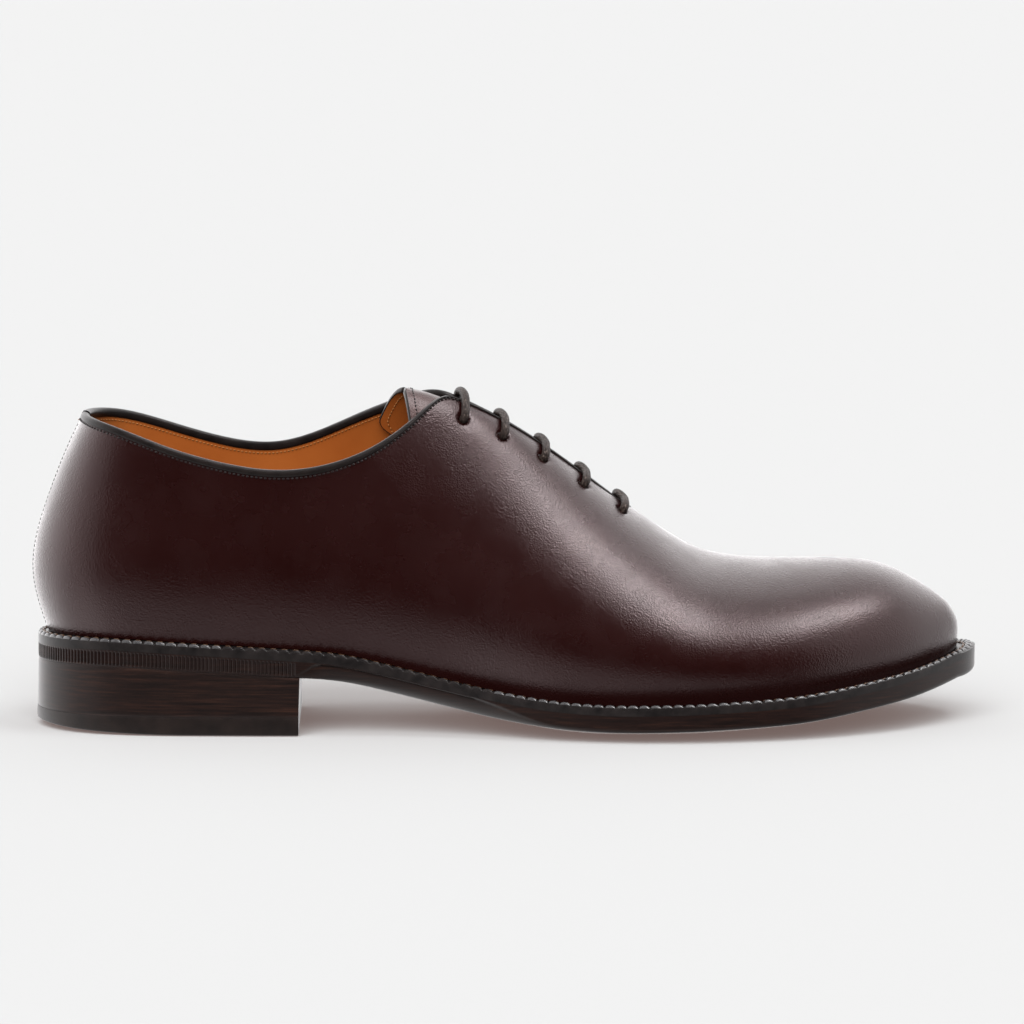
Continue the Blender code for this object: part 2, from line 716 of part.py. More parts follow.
def eyelet_cutter(last, side, number, x, cutters):
    centre, normal = eyelet_place(last, side, x)
    mesh = bmesh.new()
    bmesh.ops.create_cone(mesh, cap_ends=True, segments=10, radius1=EYELET_RADIUS,
                          radius2=EYELET_RADIUS, depth=10.0)
    turn = rotation_to(normal)
    for vert in mesh.verts:
        vert.co = tuple(centre + turn @ np.array(vert.co))
    cutter = finish_mesh(f"eyelet_{side}_{number + 1}", mesh)
    cutter.hide_render = True
    cutter.display_type = "WIRE"
    cutters.objects.link(cutter)
    return cutter


def rotation_to(direction):
    """Matrix whose third column is direction."""
    side = np.cross(direction, (1.0, 0.0, 0.0))
    side /= np.linalg.norm(side)
    return np.stack([np.cross(side, direction), side, direction], axis=1)


def edge_frame(grid):
    """Outward normals of a surface grid (levels, stations, 3), taken from its own neighbours."""
    along = np.gradient(grid, axis=1)
    across = np.gradient(grid, axis=0)
    normal = np.cross(along, across)
    return normal / (np.linalg.norm(normal, axis=2)[..., None] + 1e-12)


def collar_binding(last):
    """A folded strip on the top edge of the upper, from one throat corner round the heel to the other."""
    stations = upper_stations(last)
    stations = stations[stations <= BINDING_END_X]
    stations[-1] -= BINDING_GAP
    rings = []
    for side in ("lateral", "medial"):
        top = last.trim(side, stations)
        length = last.rib_length(side, stations)
        bound = binding_width(stations) / length
        share = np.stack([top - bound, top - bound / 2, top])
        grid = last.surface(side, stations, share)
        normal = edge_frame(grid) * (1 if side == "lateral" else -1)
        ring = np.concatenate([
            grid[:1] + normal[:1] * BINDING_PROUD,
            grid[1:2] + normal[1:2] * BINDING_PROUD,
            grid[2:] - normal[2:] * 0.3,
            grid[2:] - normal[2:] * (LEATHER - 0.3),
            grid[:1] - normal[:1] * (LEATHER + BINDING_PROUD),
        ])
        rings.append(ring.transpose(1, 0, 2))
    line = np.concatenate([rings[0][::-1], rings[1][1:]])
    return swept("collar_binding", line)


def swept(name, line):
    """A closed solid through a line of rings, capped at both ends."""
    mesh = bmesh.new()
    rings = [[mesh.verts.new(p) for p in ring] for ring in line]
    bridge_rings(mesh, rings)
    mesh.faces.new(rings[0])
    mesh.faces.new(rings[-1])
    return finish_mesh(name, mesh)


def tongue(last):
    """A sheet under the facings, stitched below the throat and standing up behind it."""
    along = np.linspace(0, 1, 18)
    across = np.linspace(-1, 1, 13)
    depth = LEATHER + TONGUE_DROP
    grid = np.zeros((len(across), len(along), 3))
    for j, v in enumerate(across):
        side = "lateral" if v < 0 else "medial"
        reach = abs(v) * TONGUE_HALF_WIDTH
        end = TONGUE_TIP_X - (TONGUE_SLANT_MEDIAL if v > 0 else TONGUE_SLANT_LATERAL) * reach
        end += 9.0 * max(abs(v) - 0.7, 0) ** 2 / 0.09
        x = TONGUE_ROOT_X + (end - TONGUE_ROOT_X) * along
        knots, points, slopes = last.ribs(side, x)
        here = cubic_at(knots, points, slopes, np.maximum(knots[-1] - reach, 0)[None])[0]
        grid[j] = here
    normal = edge_frame(grid)
    normal *= np.sign(normal[..., 2:3])
    grid = grid - normal * depth
    mesh = bmesh.new()
    rows = [[mesh.verts.new(p) for p in line] for line in grid]
    for low, high in zip(rows, rows[1:]):
        for k in range(len(low) - 1):
            mesh.faces.new((low[k + 1], low[k], high[k], high[k + 1]))
    thicken(mesh, TONGUE_THICKNESS)
    return finish_mesh("tongue", mesh)


def lace_bar(last, number, x):
    """One bar of the lace over the throat, resting on both facings between its two eyelets."""
    ends = {side: eyelet_place(last, side, x) for side in ("lateral", "medial")}
    height = LACE_RADIUS + LACE_HEIGHT
    route = []
    for side in ("lateral", "medial"):
        points = []
        for reach in (EYELET_REACH - 0.6, EYELET_REACH * 0.75, EYELET_REACH * 0.5, EYELET_REACH * 0.25):
            base_x = eyelet_x(side, x)
            knots, ribs, slopes = last.ribs(side, [base_x])
            top = last.trim(side, [base_x])
            at = top * knots[-1] - reach
            here = cubic_at(knots, ribs, slopes, at[None])[0, 0]
            points.append(here + ends[side][1] * height)
        route.append(points)
    line = route[0] + route[1][::-1]
    data = bpy.data.curves.new(f"lace_bar_{number}", "CURVE")
    data.dimensions = "3D"
    data.bevel_depth = LACE_RADIUS / 1000
    data.bevel_resolution = 2
    data.use_fill_caps = True
    dense = curve_through(line)
    dense = dense[np.linspace(0, len(dense) - 1, 11).astype(int)]
    spline = data.splines.new("POLY")
    spline.points.add(len(dense) - 1)
    for point, place in zip(spline.points, dense):
        point.co = ((place[0] - ORIGIN[0]) / 1000, (place[1] - ORIGIN[1]) / 1000, place[2] / 1000, 1)
    return bpy.data.objects.new(f"lace_bar_{number}", data)


def main():
    clear_scene()
    scene = bpy.context.scene
    shoe = bpy.data.collections.new("whole_cut_oxford")
    cutters = bpy.data.collections.new("cutters")
    scene.collection.children.link(shoe)
    scene.collection.children.link(cutters)
    materials = make_materials()
    last = Last()
    heel = heel_pieces()
    pieces = [
        (outsole(), "sole_leather"),
        (welt(), "welt_leather"),
        (insole(), "lining_leather"),
        *[(piece, "sole_leather") for piece in heel[:-1]],
        (heel[-1], "top_piece_rubber"),
        (upper(last, cutters), "upper_leather"),
        (collar_binding(last), "binding_leather"),
        (tongue(last), "upper_leather"),
        *[(lace_bar(last, k + 1, x), "lace_cotton") for k, x in enumerate(EYELET_X)],
    ]
    for piece, material in pieces:
        shoe.objects.link(piece)
        piece.data.materials.append(materials[material])


if __name__ == "__main__":
    main()
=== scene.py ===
"""Looks of the whole cut oxford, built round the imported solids.

Shape functions work in millimetres, x from heel to toe, y from the outer to the inner side, z up.
Meshes are made in metres with the object's own origin.
"""

import math

import bmesh
import bpy
import numpy as np
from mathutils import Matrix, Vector


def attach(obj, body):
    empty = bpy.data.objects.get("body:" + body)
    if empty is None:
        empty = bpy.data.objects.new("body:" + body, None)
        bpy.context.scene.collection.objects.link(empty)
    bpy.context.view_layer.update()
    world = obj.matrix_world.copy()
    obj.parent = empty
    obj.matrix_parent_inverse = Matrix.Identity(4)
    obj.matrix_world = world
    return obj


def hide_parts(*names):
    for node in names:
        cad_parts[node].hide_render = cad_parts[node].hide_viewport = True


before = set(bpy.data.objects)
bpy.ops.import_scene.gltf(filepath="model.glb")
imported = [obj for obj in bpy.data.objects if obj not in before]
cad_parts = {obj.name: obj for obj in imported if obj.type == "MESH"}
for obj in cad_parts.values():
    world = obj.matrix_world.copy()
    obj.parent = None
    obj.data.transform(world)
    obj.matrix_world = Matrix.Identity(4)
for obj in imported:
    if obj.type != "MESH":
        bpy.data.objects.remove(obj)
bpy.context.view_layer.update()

ORIGIN = np.array([155.3, -0.3, 0.0])
SHIFT = Vector(ORIGIN)


def to_frame(points):
    return (np.asarray(points, float) - ORIGIN) / 1000


# Camera, floor and light

AIM = (157.3, 0.0, 69.1)
CAMERA_DISTANCE = 1600.0
CAMERA_ELEVATION = 6.6
CAMERA_AZIMUTH = -1.5
LENS = 170.1

# Sky: dark in front of the shoe between two planes, bright elsewhere, with a key light and a side light
SKY_LEVEL, SKY_DARK = 1.7, 0.03
SKY_LEFT_PLANE, SKY_LEFT_TURN = (0.707, -0.707, 0.0), (-0.15, 0.20)
SKY_RIGHT_PLANE, SKY_RIGHT_TURN = (-0.596, -0.767, -0.237), (-0.12, 0.16)
SKY_LOBES = (
    # towards, dot product where it starts and where it is full, level
    ((0.0, 0.0, 1.0), (0.50, 0.90), -0.5),
    ((0.640, -0.056, 0.766), (0.50, 0.95), 0.5),
    ((0.405, -0.110, 0.908), (0.962, 0.998), 20.0),
    ((-0.850, 0.500, 0.174), (0.50, 0.94), 1.8),
    ((0.200, 0.850, 0.480), (0.70, 0.97), 1.0),
)
SKY_LOW, SKY_LOW_TURN, SKY_LOW_LEVEL = (-0.200, -0.400, -0.895), (0.62, 0.80), 1.2
# The floor glows a little by itself and warmly, which paints its shadows lighter and reddish. Its own
# colour is a little blue so that the lit floor comes out neutral.
FLOOR_COLOUR = (0.1454, 0.1566, 0.1578)
FLOOR_GLOW = (0.16, 0.115, 0.105)
SUN_TOWARDS = (-0.15, -0.76, 0.63)
SUN_STRENGTH = 13.0
SUN_WIDTH = 60
LIGHT_COLOUR = (1.0, 0.985, 0.99)
FLOOR_REACH = 40
FLOOR_DEPTH = 0.0003


def add_camera():
    data = bpy.data.cameras.new("camera")
    data.lens = LENS
    data.sensor_width = 36
    data.clip_end = 50
    camera = bpy.data.objects.new("camera", data)
    bpy.context.scene.collection.objects.link(camera)
    elevation, azimuth = math.radians(CAMERA_ELEVATION), math.radians(CAMERA_AZIMUTH)
    back = np.array([
        math.sin(azimuth) * math.cos(elevation),
        -math.cos(azimuth) * math.cos(elevation),
        math.sin(elevation),
    ])
    place = to_frame(np.array(AIM) + back * CAMERA_DISTANCE)
    camera.location = place
    camera.rotation_euler = Vector(-back).to_track_quat("-Z", "Y").to_euler()
    bpy.context.scene.camera = camera


def add_surroundings():
    """A wide pale floor under a sky that is bright above and behind the shoe and dark in front of it."""
    world = bpy.data.worlds.new("studio")
    bpy.context.scene.world = world
    world.use_nodes = True
    tree = world.node_tree
    shader = tree.nodes["Background"]
    shader.inputs["Color"].default_value = (*LIGHT_COLOUR, 1)
    place = tree.nodes.new("ShaderNodeTexCoord").outputs["Generated"]

    def math_node(operation, first, second):
        node = tree.nodes.new("ShaderNodeMath")
        node.operation = operation
        for socket, value in zip(node.inputs, (first, second)):
            if isinstance(value, float):
                socket.default_value = value
            else:
                tree.links.new(value, socket)
        return node.outputs["Value"]

    def turn(direction, limits, high=1.0):
        """Smoothly from 0 to high as the view turns towards a direction."""
        towards = tree.nodes.new("ShaderNodeVectorMath")
        towards.operation = "DOT_PRODUCT"
        towards.inputs[1].default_value = direction
        tree.links.new(place, towards.inputs[0])
        node = tree.nodes.new("ShaderNodeMapRange")
        node.interpolation_type = "SMOOTHSTEP"
        for name, number in zip(("From Min", "From Max", "To Min", "To Max"), (*limits, 0.0, high)):
            node.inputs[name].default_value = number
        tree.links.new(towards.outputs["Value"], node.inputs["Value"])
        return node.outputs["Result"]

    dark = math_node("MULTIPLY", turn(SKY_LEFT_PLANE, SKY_LEFT_TURN), turn(SKY_RIGHT_PLANE, SKY_RIGHT_TURN))
    level = SKY_LEVEL
    for direction, limits, high in SKY_LOBES:
        level = math_node("ADD", level, turn(direction, limits, high))
    level = math_node("MULTIPLY", level, math_node("SUBTRACT", 1.0, dark))
    level = math_node("ADD", level, turn(SKY_LOW, SKY_LOW_TURN, SKY_LOW_LEVEL))
    level = math_node("ADD", level, SKY_DARK)
    tree.links.new(level, shader.inputs["Strength"])

    lamp = bpy.data.lights.new("soft_front", "SUN")
    lamp.energy = SUN_STRENGTH
    lamp.angle = math.radians(SUN_WIDTH)
    lamp.color = LIGHT_COLOUR
    sun = bpy.data.objects.new("soft_front", lamp)
    sun.rotation_euler = Vector(SUN_TOWARDS).to_track_quat("Z", "Y").to_euler()
    sun.visible_glossy = False
    bpy.context.scene.collection.objects.link(sun)

    mesh = bmesh.new()
    corners = [(-1, -1), (1, -1), (1, 1), (-1, 1)]
    mesh.faces.new([mesh.verts.new((x * FLOOR_REACH, y * FLOOR_REACH, -FLOOR_DEPTH)) for x, y in corners])
    data = bpy.data.meshes.new("floor")
    mesh.to_mesh(data)
    mesh.free()
    floor = bpy.data.objects.new("floor", data)
    bpy.context.scene.collection.objects.link(floor)
    material = bpy.data.materials.new("floor")
    material.use_nodes = True
    node = material.node_tree.nodes["Principled BSDF"]
    node.inputs["Base Color"].default_value = (*FLOOR_COLOUR, 1)
    node.inputs["Roughness"].default_value = 1.0
    node.inputs["Specular IOR Level"].default_value = 0.0
    # the floor's warm glow, which paints its shadows lighter and reddish
    node.inputs["Emission Color"].default_value = (*FLOOR_GLOW, 1)
    node.inputs["Emission Strength"].default_value = 1.0
    data.materials.append(material)
    floor.visible_glossy = False
    bpy.context.scene.view_settings.view_transform = "Standard"


# Shape of the shoe, in the sizes of its solids

LEATHER = 2.0
FIT_GAP = 0.3
SIDES = ("lateral", "medial")

# Sole, from the floor up
OUTSOLE_THICKNESS = 5.4
WELT_THICKNESS = 3.1
HEEL_BREAST_X = 87.0
HEEL_BREAST_RAKE = 0.8
TOP_PIECE_THICKNESS = 6.0
HEEL_SPRING = 2.0
HEEL_SPRING_LENGTH = 52.0
HEEL_FLARE = 0.4

# Outer edge of the sole seen from above, once round from the back of the heel
OUTLINE = (
    # x, y
    (0.6, 0.0),
    (4.4, -13.2),
    (14.8, -23.8),
    (32.0, -30.0),
    (58.0, -32.6),
    (88.0, -33.8),
    (114.0, -34.4),
    (138.0, -38.0),
    (162.0, -45.4),
    (186.0, -51.4),
    (208.0, -53.4),
    (230.0, -51.8),
    (252.0, -46.8),
    (272.0, -38.2),
    (288.0, -28.4),
    (300.0, -17.0),
    (308.6, -5.4),
    (311.9, 5.4),
    (309.8, 16.4),
    (302.0, 27.4),
    (290.0, 37.0),
    (272.0, 45.4),
    (250.0, 50.8),
    (228.0, 52.8),
    (207.0, 51.2),
    (184.0, 44.2),
    (160.0, 35.0),
    (136.0, 29.4),
    (112.0, 28.4),
    (86.0, 30.4),
    (58.0, 31.8),
    (32.0, 29.6),
    (14.8, 23.4),
    (4.4, 13.0),
)

# Underside of the outsole along its middle, and how far its edges rise above that
SOLE_COLUMNS = ("x", "bottom", "crown", "edge_bevel")
SOLE_ROWS = (
    (0.0, 21.8, 0.0, 0.3),
    (22.0, 22.2, 0.0, 0.3),
    (46.0, 21.2, 0.0, 0.3),
    (70.0, 19.8, 0.0, 0.4),
    (88.0, 18.6, 0.1, 0.8),
    (101.0, 16.9, 0.5, 2.4),
    (115.0, 13.6, 0.9, 3.8),
    (130.0, 9.7, 1.3, 4.4),
    (145.0, 6.0, 1.8, 3.8),
    (160.0, 3.0, 2.4, 2.4),
    (172.0, 1.1, 3.0, 1.3),
    (184.0, 0.1, 3.4, 0.9),
    (190.0, 0.0, 3.4, 0.8),
    (202.0, 0.0, 3.5, 0.8),
    (214.0, 0.0, 3.8, 0.8),
    (224.0, 0.4, 3.8, 0.8),
    (237.0, 1.3, 3.5, 0.8),
    (252.0, 2.6, 3.2, 0.8),
    (270.0, 5.4, 2.8, 0.8),
    (288.0, 9.0, 2.2, 0.8),
    (302.0, 13.0, 1.5, 0.8),
    (312.0, 16.3, 1.0, 0.8),
)
TREAD_SHARE = 0.4
NARROWEST_CROWN = 18.0

# Shape of the last. Welt and bulge are in millimetres: the feather line lies that far inside the edge of
# the sole, and the wall swells out again above it. Heights are shares of the height to the crest, and the
# three width columns are shares of the half width at the wall.
LAST_COLUMNS = (
    "x", "welt_lateral", "welt_medial", "bulge_lateral", "bulge_medial",
    "wall_height", "flank_width", "brow_width", "crest_width", "centre",
)
LAST_ROWS = (
    (0.0, 3.3, 3.3, 4.8, 4.8, 0.24, 0.90, 0.80, 0.71, 0.0),
    (30.0, 3.0, 3.0, 3.2, 3.2, 0.25, 0.90, 0.80, 0.71, 0.0),
    (60.0, 3.2, 3.2, 2.8, 3.2, 0.26, 0.89, 0.79, 0.70, 0.0),
    (86.0, 3.6, 3.6, 2.8, 4.6, 0.26, 0.87, 0.75, 0.60, -0.6),
    (106.0, 4.2, 4.0, 3.0, 6.6, 0.25, 0.85, 0.65, 0.36, -1.2),
    (124.0, 4.8, 4.4, 3.0, 7.6, 0.235, 0.82, 0.53, 0.09, -1.2),
    (142.0, 5.4, 5.0, 3.0, 7.0, 0.23, 0.80, 0.46, 0.0, 0.2),
    (170.0, 6.6, 6.2, 2.8, 4.6, 0.24, 0.80, 0.46, 0.0, 4.0),
    (196.0, 7.4, 7.0, 2.6, 3.2, 0.26, 0.82, 0.49, 0.0, 7.0),
    (220.0, 7.6, 7.2, 2.4, 2.8, 0.29, 0.85, 0.53, 0.0, 8.0),
    (245.0, 7.4, 7.2, 2.4, 2.6, 0.31, 0.87, 0.56, 0.0, 7.2),
    (270.0, 7.0, 7.0, 2.0, 2.2, 0.33, 0.88, 0.58, 0.0, 5.8),
    (292.0, 6.4, 6.4, 1.2, 1.2, 0.34, 0.89, 0.60, 0.0, 4.8),
    (306.0, 6.0, 6.0, 0.3, 0.3, 0.34, 0.90, 0.62, 0.0, 4.4),
)
FLANK_HEIGHT = 0.42
BROW_HEIGHT = 0.78

# Back of the heel: where each line of the last crosses it
BACK_FEATHER, BACK_WALL, BACK_FLANK, BACK_BROW, BACK_CREST = 3.9, -0.9, 4.7, 14.1, 21.6
HEEL_ZONE = 60.0
TOE_ZONE = 262.0

# Ridge of the last seen from the side. Behind x 130 it is only a guide above the open collar.
CREST = (
    # x, z
    (-4.0, 112.0),
    (40.0, 112.0),
    (76.0, 113.6),
    (100.0, 115.2),
    (116.0, 114.2),
    (130.0, 111.9),
    (142.0, 107.1),
    (158.0, 98.2),
    (178.0, 83.9),
    (196.0, 70.6),
    (208.0, 62.4),
    (220.0, 55.8),
    (232.0, 53.4),
    (250.0, 52.8),
    (268.0, 52.8),
    (280.0, 51.2),
    (292.0, 45.7),
    (300.0, 40.3),
    (304.6, 35.8),
    (306.3, 31.2),
)
CREST_TIP = 306.3
LEAN_START = 92.0
LEAN_END = 132.0

# Top edge of the collar on each side
TOPLINE_COLUMNS = ("x", "lateral", "medial")
TOPLINE_ROWS = (
    (14.0, 103.2, 103.2),
    (28.0, 99.2, 101.2),
    (45.0, 93.0, 96.2),
    (62.0, 88.2, 91.4),
    (80.0, 85.7, 90.0),
    (98.0, 87.8, 95.8),
    (112.0, 93.1, 102.4),
    (124.0, 100.9, 107.6),
    (136.0, 111.4, 114.4),
    (150.0, 125.0, 127.0),
)

# Throat: half the gap between the facings, and where it ends
THROAT_COLUMNS = ("x", "half_gap")
THROAT_ROWS = ((120.0, 8.0), (136.0, 5.4), (150.0, 4.2), (170.0, 3.6), (197.0, 3.0))
THROAT_END = 197.0
THROAT_END_RADIUS = 3.0
CORNER_RADIUS = 7.0

# Lacing
EYELET_X = (141.3, 154.4, 167.7, 181.1, 193.9)
EYELET_REACH = 7.7
LACE_SLANT = 2.2

# Tongue
TONGUE_THICKNESS = 1.8
TONGUE_ROOT_X = 209.0
TONGUE_TIP_X = 122.6
TONGUE_HALF_WIDTH = 25.0
TONGUE_SLANT_MEDIAL = 0.42
TONGUE_SLANT_LATERAL = -0.12
TONGUE_DROP = 1.1
TONGUE_CORNER = 9.0


CURVE_SAMPLES = 60
RIB_SAMPLES = 240


# Curves


def smooth_slopes(knots, points, end=None):
    """Slopes at the knots of smooth cubics. knots is (n, curves) and points (n, curves, axes)."""
    count = len(knots)
    step = np.diff(knots, axis=0)
    rise = np.diff(points, axis=0) / step[..., None]
    matrix = np.zeros((knots.shape[1], count, count))
    known = np.zeros((knots.shape[1], count, points.shape[2]))
    matrix[:, 0, 0], matrix[:, 0, 1] = 2, 1
    known[:, 0] = 3 * rise[0]
    for k in range(1, count - 1):
        matrix[:, k, k - 1] = step[k]
        matrix[:, k, k] = 2 * (step[k - 1] + step[k])
        matrix[:, k, k + 1] = step[k - 1]
        known[:, k] = 3 * (step[k][:, None] * rise[k - 1] + step[k - 1][:, None] * rise[k])
    if end is None:
        matrix[:, -1, -2], matrix[:, -1, -1] = 1, 2
        known[:, -1] = 3 * rise[-1]
    else:
        matrix[:, -1, -1] = 1
        known[:, -1] = end
    return np.linalg.solve(matrix, known).transpose(1, 0, 2)


def cubic_at(knots, points, slopes, at):
    """Points of those cubics at parameters at, which is (m, curves)."""
    index = np.zeros(at.shape, int)
    for k in range(1, len(knots) - 1):
        index += at >= knots[k]
    curve = np.arange(at.shape[1])
    low, high = knots[index, curve], knots[index + 1, curve]
    step = high - low
    t = ((at - low) / step)[..., None]
    step = step[..., None]
    p0, p1 = points[index, curve], points[index + 1, curve]
    m0, m1 = slopes[index, curve] * step, slopes[index + 1, curve] * step
    return (
        p0 * (2 * t**3 - 3 * t**2 + 1)
        + m0 * (t**3 - 2 * t**2 + t)
        + p1 * (3 * t**2 - 2 * t**3)
        + m1 * (t**3 - t**2)
    )


def lengths_along(points):
    """Length along a line at each of its points."""
    return np.concatenate([[0], np.cumsum(np.linalg.norm(np.diff(points, axis=0), axis=1))])


def read_at(at, length, values):
    """Rows of values at lengths along a line."""
    return np.stack([np.interp(at, length, value) for value in values.T], axis=1)


def unit(vectors):
    return vectors / np.linalg.norm(vectors, axis=1)[:, None]


def curve_through(points):
    """Dense points of one smooth curve through points."""
    points = np.asarray(points, float)
    knots = lengths_along(points)[:, None]
    points = points[:, None, :]
    slopes = smooth_slopes(knots, points)
    at = np.linspace(0, knots[-1, 0], CURVE_SAMPLES * len(points))[:, None]
    return cubic_at(knots, points, slopes, at)[:, 0]


def closed_curve_through(points):
    """Dense points of one smooth closed curve through points, starting at the first."""
    points = list(points)
    dense = curve_through(points[-4:] + points + points[:5])
    start = np.argmin(np.linalg.norm(dense[: len(dense) // 3] - points[0], axis=1))
    rest = dense[len(dense) * 2 // 3:]
    end = len(dense) * 2 // 3 + np.argmin(np.linalg.norm(rest - points[0], axis=1))
    return dense[start:end]


def column(columns, rows, name, x):
    """A named column of a table, read smoothly at x."""
    rows = np.asarray(rows, float)
    knots = rows[:, :1]
    values = rows[:, columns.index(name)][:, None, None]
    x = np.asarray(x, float)
    at = np.clip(x, rows[0, 0], rows[-1, 0]).reshape(-1, 1)
    slopes = smooth_slopes(knots, values)
    return cubic_at(knots, values, slopes, at).reshape(x.shape)


def smooth_step(value, low, high):
    t = np.clip((value - low) / (high - low), 0, 1)
    return t * t * (3 - 2 * t)


# Outline and last


def split_sides(curve):
    """The lateral and the medial half of a closed outline, each from heel to toe."""
    curve = np.roll(curve, -int(np.argmin(curve[:, 0])), axis=0)
    tip = int(np.argmax(curve[:, 0]))
    lateral = curve[: tip + 1]
    medial = np.concatenate([curve[tip:], curve[:1]])[::-1]
    return {"lateral": lateral, "medial": medial}


def inset_outline(inset):
    """The sole's outline moved inwards. inset gives the distance at each x, for one side."""
    outline = closed_curve_through(OUTLINE)
    tangent = unit(np.roll(outline, -1, axis=0) - np.roll(outline, 1, axis=0))
    inward = np.stack([-tangent[:, 1], tangent[:, 0]], axis=1)
    x, y = outline[:, 0], outline[:, 1]
    share = smooth_step(y, -6.0, 6.0)
    distance = inset("lateral", x) * (1 - share) + inset("medial", x) * share
    return split_sides(outline + inward * distance[:, None])


def along_side(sides, side, x):
    """y of one side of an outline at x."""
    return np.interp(x, sides[side][:, 0], sides[side][:, 1])


OUTLINE_SIDES = {}


def sole_bottom(x, y):
    """Height of the outsole's underside, which curves up towards both edges of the forepart."""
    if not OUTLINE_SIDES:
        OUTLINE_SIDES.update(inset_outline(lambda side, x: 0.0 * x))
    lateral = along_side(OUTLINE_SIDES, "lateral", x)
    medial = along_side(OUTLINE_SIDES, "medial", x)
    half = np.maximum((medial - lateral) / 2, NARROWEST_CROWN)
    across = np.abs(y - (medial + lateral) / 2) / half
    reach = np.clip((across - TREAD_SHARE) / (1 - TREAD_SHARE), 0, 1.1)
    rise = column(SOLE_COLUMNS, SOLE_ROWS, "crown", x)
    middle = column(SOLE_COLUMNS, SOLE_ROWS, "bottom", x)
    return np.maximum(middle, 0) + rise * reach**2


def welt_bottom(x, y):
    return sole_bottom(x, y) + OUTSOLE_THICKNESS + FIT_GAP


def welt_top(x, y):
    return welt_bottom(x, y) + WELT_THICKNESS


def from_round_end(low, high, steps):
    """x values from low to high, close together at low, where the outline is round."""
    angle = np.linspace(0, math.pi / 2, steps + 1)
    return low + (high - low) * (1 - np.cos(angle))


def feather_inset(side, x):
    return column(LAST_COLUMNS, LAST_ROWS, "welt_" + side, x)


def wall_inset(side, x):
    return feather_inset(side, x) - column(LAST_COLUMNS, LAST_ROWS, "bulge_" + side, x)


class Last:
    """The outer surface of the upper, as if it closed over the foot."""

    def __init__(self):
        self.feather = inset_outline(feather_inset)
        self.wall = inset_outline(wall_inset)
        self.feather_tip = self.feather["lateral"][-1][0]
        self.wall_tip = self.wall["lateral"][-1][0]
        self.crest = curve_through(CREST)

    def crest_height(self, x):
        return np.interp(x, self.crest[:, 0], self.crest[:, 1])

    def centre(self, x):
        return column(LAST_COLUMNS, LAST_ROWS, "centre", x)

    def ribs(self, side, stations):
        """Knots, points and slopes of the section at each station, from the feather line to the crest."""
        x_wall = np.asarray(stations, float)
        heel = np.clip((HEEL_ZONE - x_wall) / (HEEL_ZONE - BACK_WALL), 0, 1) ** 2
        toe = np.clip((x_wall - TOE_ZONE) / (self.wall_tip - TOE_ZONE), 0, 1) ** 2
        shift = lambda back, tip: x_wall + (back - BACK_WALL) * heel + (tip - self.wall_tip) * toe
        read = lambda name: column(LAST_COLUMNS, LAST_ROWS, name, x_wall)
        centre = self.centre(x_wall)
        y_wall = along_side(self.wall, side, x_wall)
        x_feather = shift(BACK_FEATHER, self.feather_tip)
        y_feather = along_side(self.feather, side, x_feather)
        floor = welt_top(x_feather, y_feather) + FIT_GAP
        x_crest = shift(BACK_CREST, CREST_TIP)
        rise = np.maximum(self.crest_height(x_crest) - floor, 0)
        wall_height = rise * read("wall_height")
        above = rise - wall_height
        half = y_wall - centre
        points = np.stack([
            np.stack([x_feather, y_feather, floor], -1),
            np.stack([x_wall, y_wall, floor + wall_height], -1),
            np.stack([shift(BACK_FLANK, CREST_TIP), centre + half * read("flank_width"),
                      floor + wall_height + above * FLANK_HEIGHT], -1),
            np.stack([shift(BACK_BROW, CREST_TIP), centre + half * read("brow_width"),
                      floor + wall_height + above * BROW_HEIGHT], -1),
            np.stack([x_crest, centre + half * read("crest_width"), floor + rise], -1),
        ])
        chord = np.linalg.norm(np.diff(points, axis=0), axis=2) + 1e-6
        knots = np.concatenate([np.zeros((1, len(x_wall))), np.cumsum(chord, axis=0)])
        up = points[4] - points[3]
        level = smooth_step(x_wall, LEAN_START, LEAN_END)[:, None]
        across = np.zeros_like(up)
        across[:, 1] = 1.0 if side == "lateral" else -1.0
        length = np.linalg.norm(up, axis=1)[:, None] + 1e-9
        end = up / length * (1 - level) + across * level
        slopes = smooth_slopes(knots, points, end=end)
        return knots, points, slopes

    def trim(self, side, stations):
        """Share of each rib that the leather covers, up to the topline, the throat or the crest."""
        knots, points, slopes = self.ribs(side, stations)
        share = np.linspace(0, 1, RIB_SAMPLES)[:, None]
        p = cubic_at(knots, points, slopes, share * knots[-1])
        over = p[..., 2] - column(TOPLINE_COLUMNS, TOPLINE_ROWS, side, p[..., 0])
        over[:, np.asarray(stations) > TOPLINE_ROWS[-1][0]] = -4 * CORNER_RADIUS
        near = half_gap(p[..., 0]) - np.abs(p[..., 1] - self.centre(p[..., 0]))
        near[:, np.asarray(stations) < THROAT_ROWS[0][0]] = -4 * CORNER_RADIUS
        rounding = np.maximum(CORNER_RADIUS - np.abs(over - near), 0)
        return first_share(np.maximum(over, near) + rounding**2 / (4 * CORNER_RADIUS))

    def surface(self, side, stations, share):
        """Points at shares (levels, stations) of the whole ribs."""
        knots, points, slopes = self.ribs(side, stations)
        return cubic_at(knots, points, slopes, share * knots[-1])

    def rib_length(self, side, stations):
        return self.ribs(side, stations)[0][-1]


def first_share(value):
    """Share at which each column of value first rises above zero, or 1 where it doesn't."""
    count = len(value)
    above = value > 0
    hit = above.any(axis=0) & ~above[0]
    index = np.maximum(np.argmax(above, axis=0), 1)
    column_index = np.arange(value.shape[1])
    low, high = value[index - 1, column_index], value[index, column_index]
    with np.errstate(divide="ignore", invalid="ignore"):
        part = np.where(high != low, -low / (high - low), 0)
    return np.where(hit, (index - 1 + part) / (count - 1), 1.0)


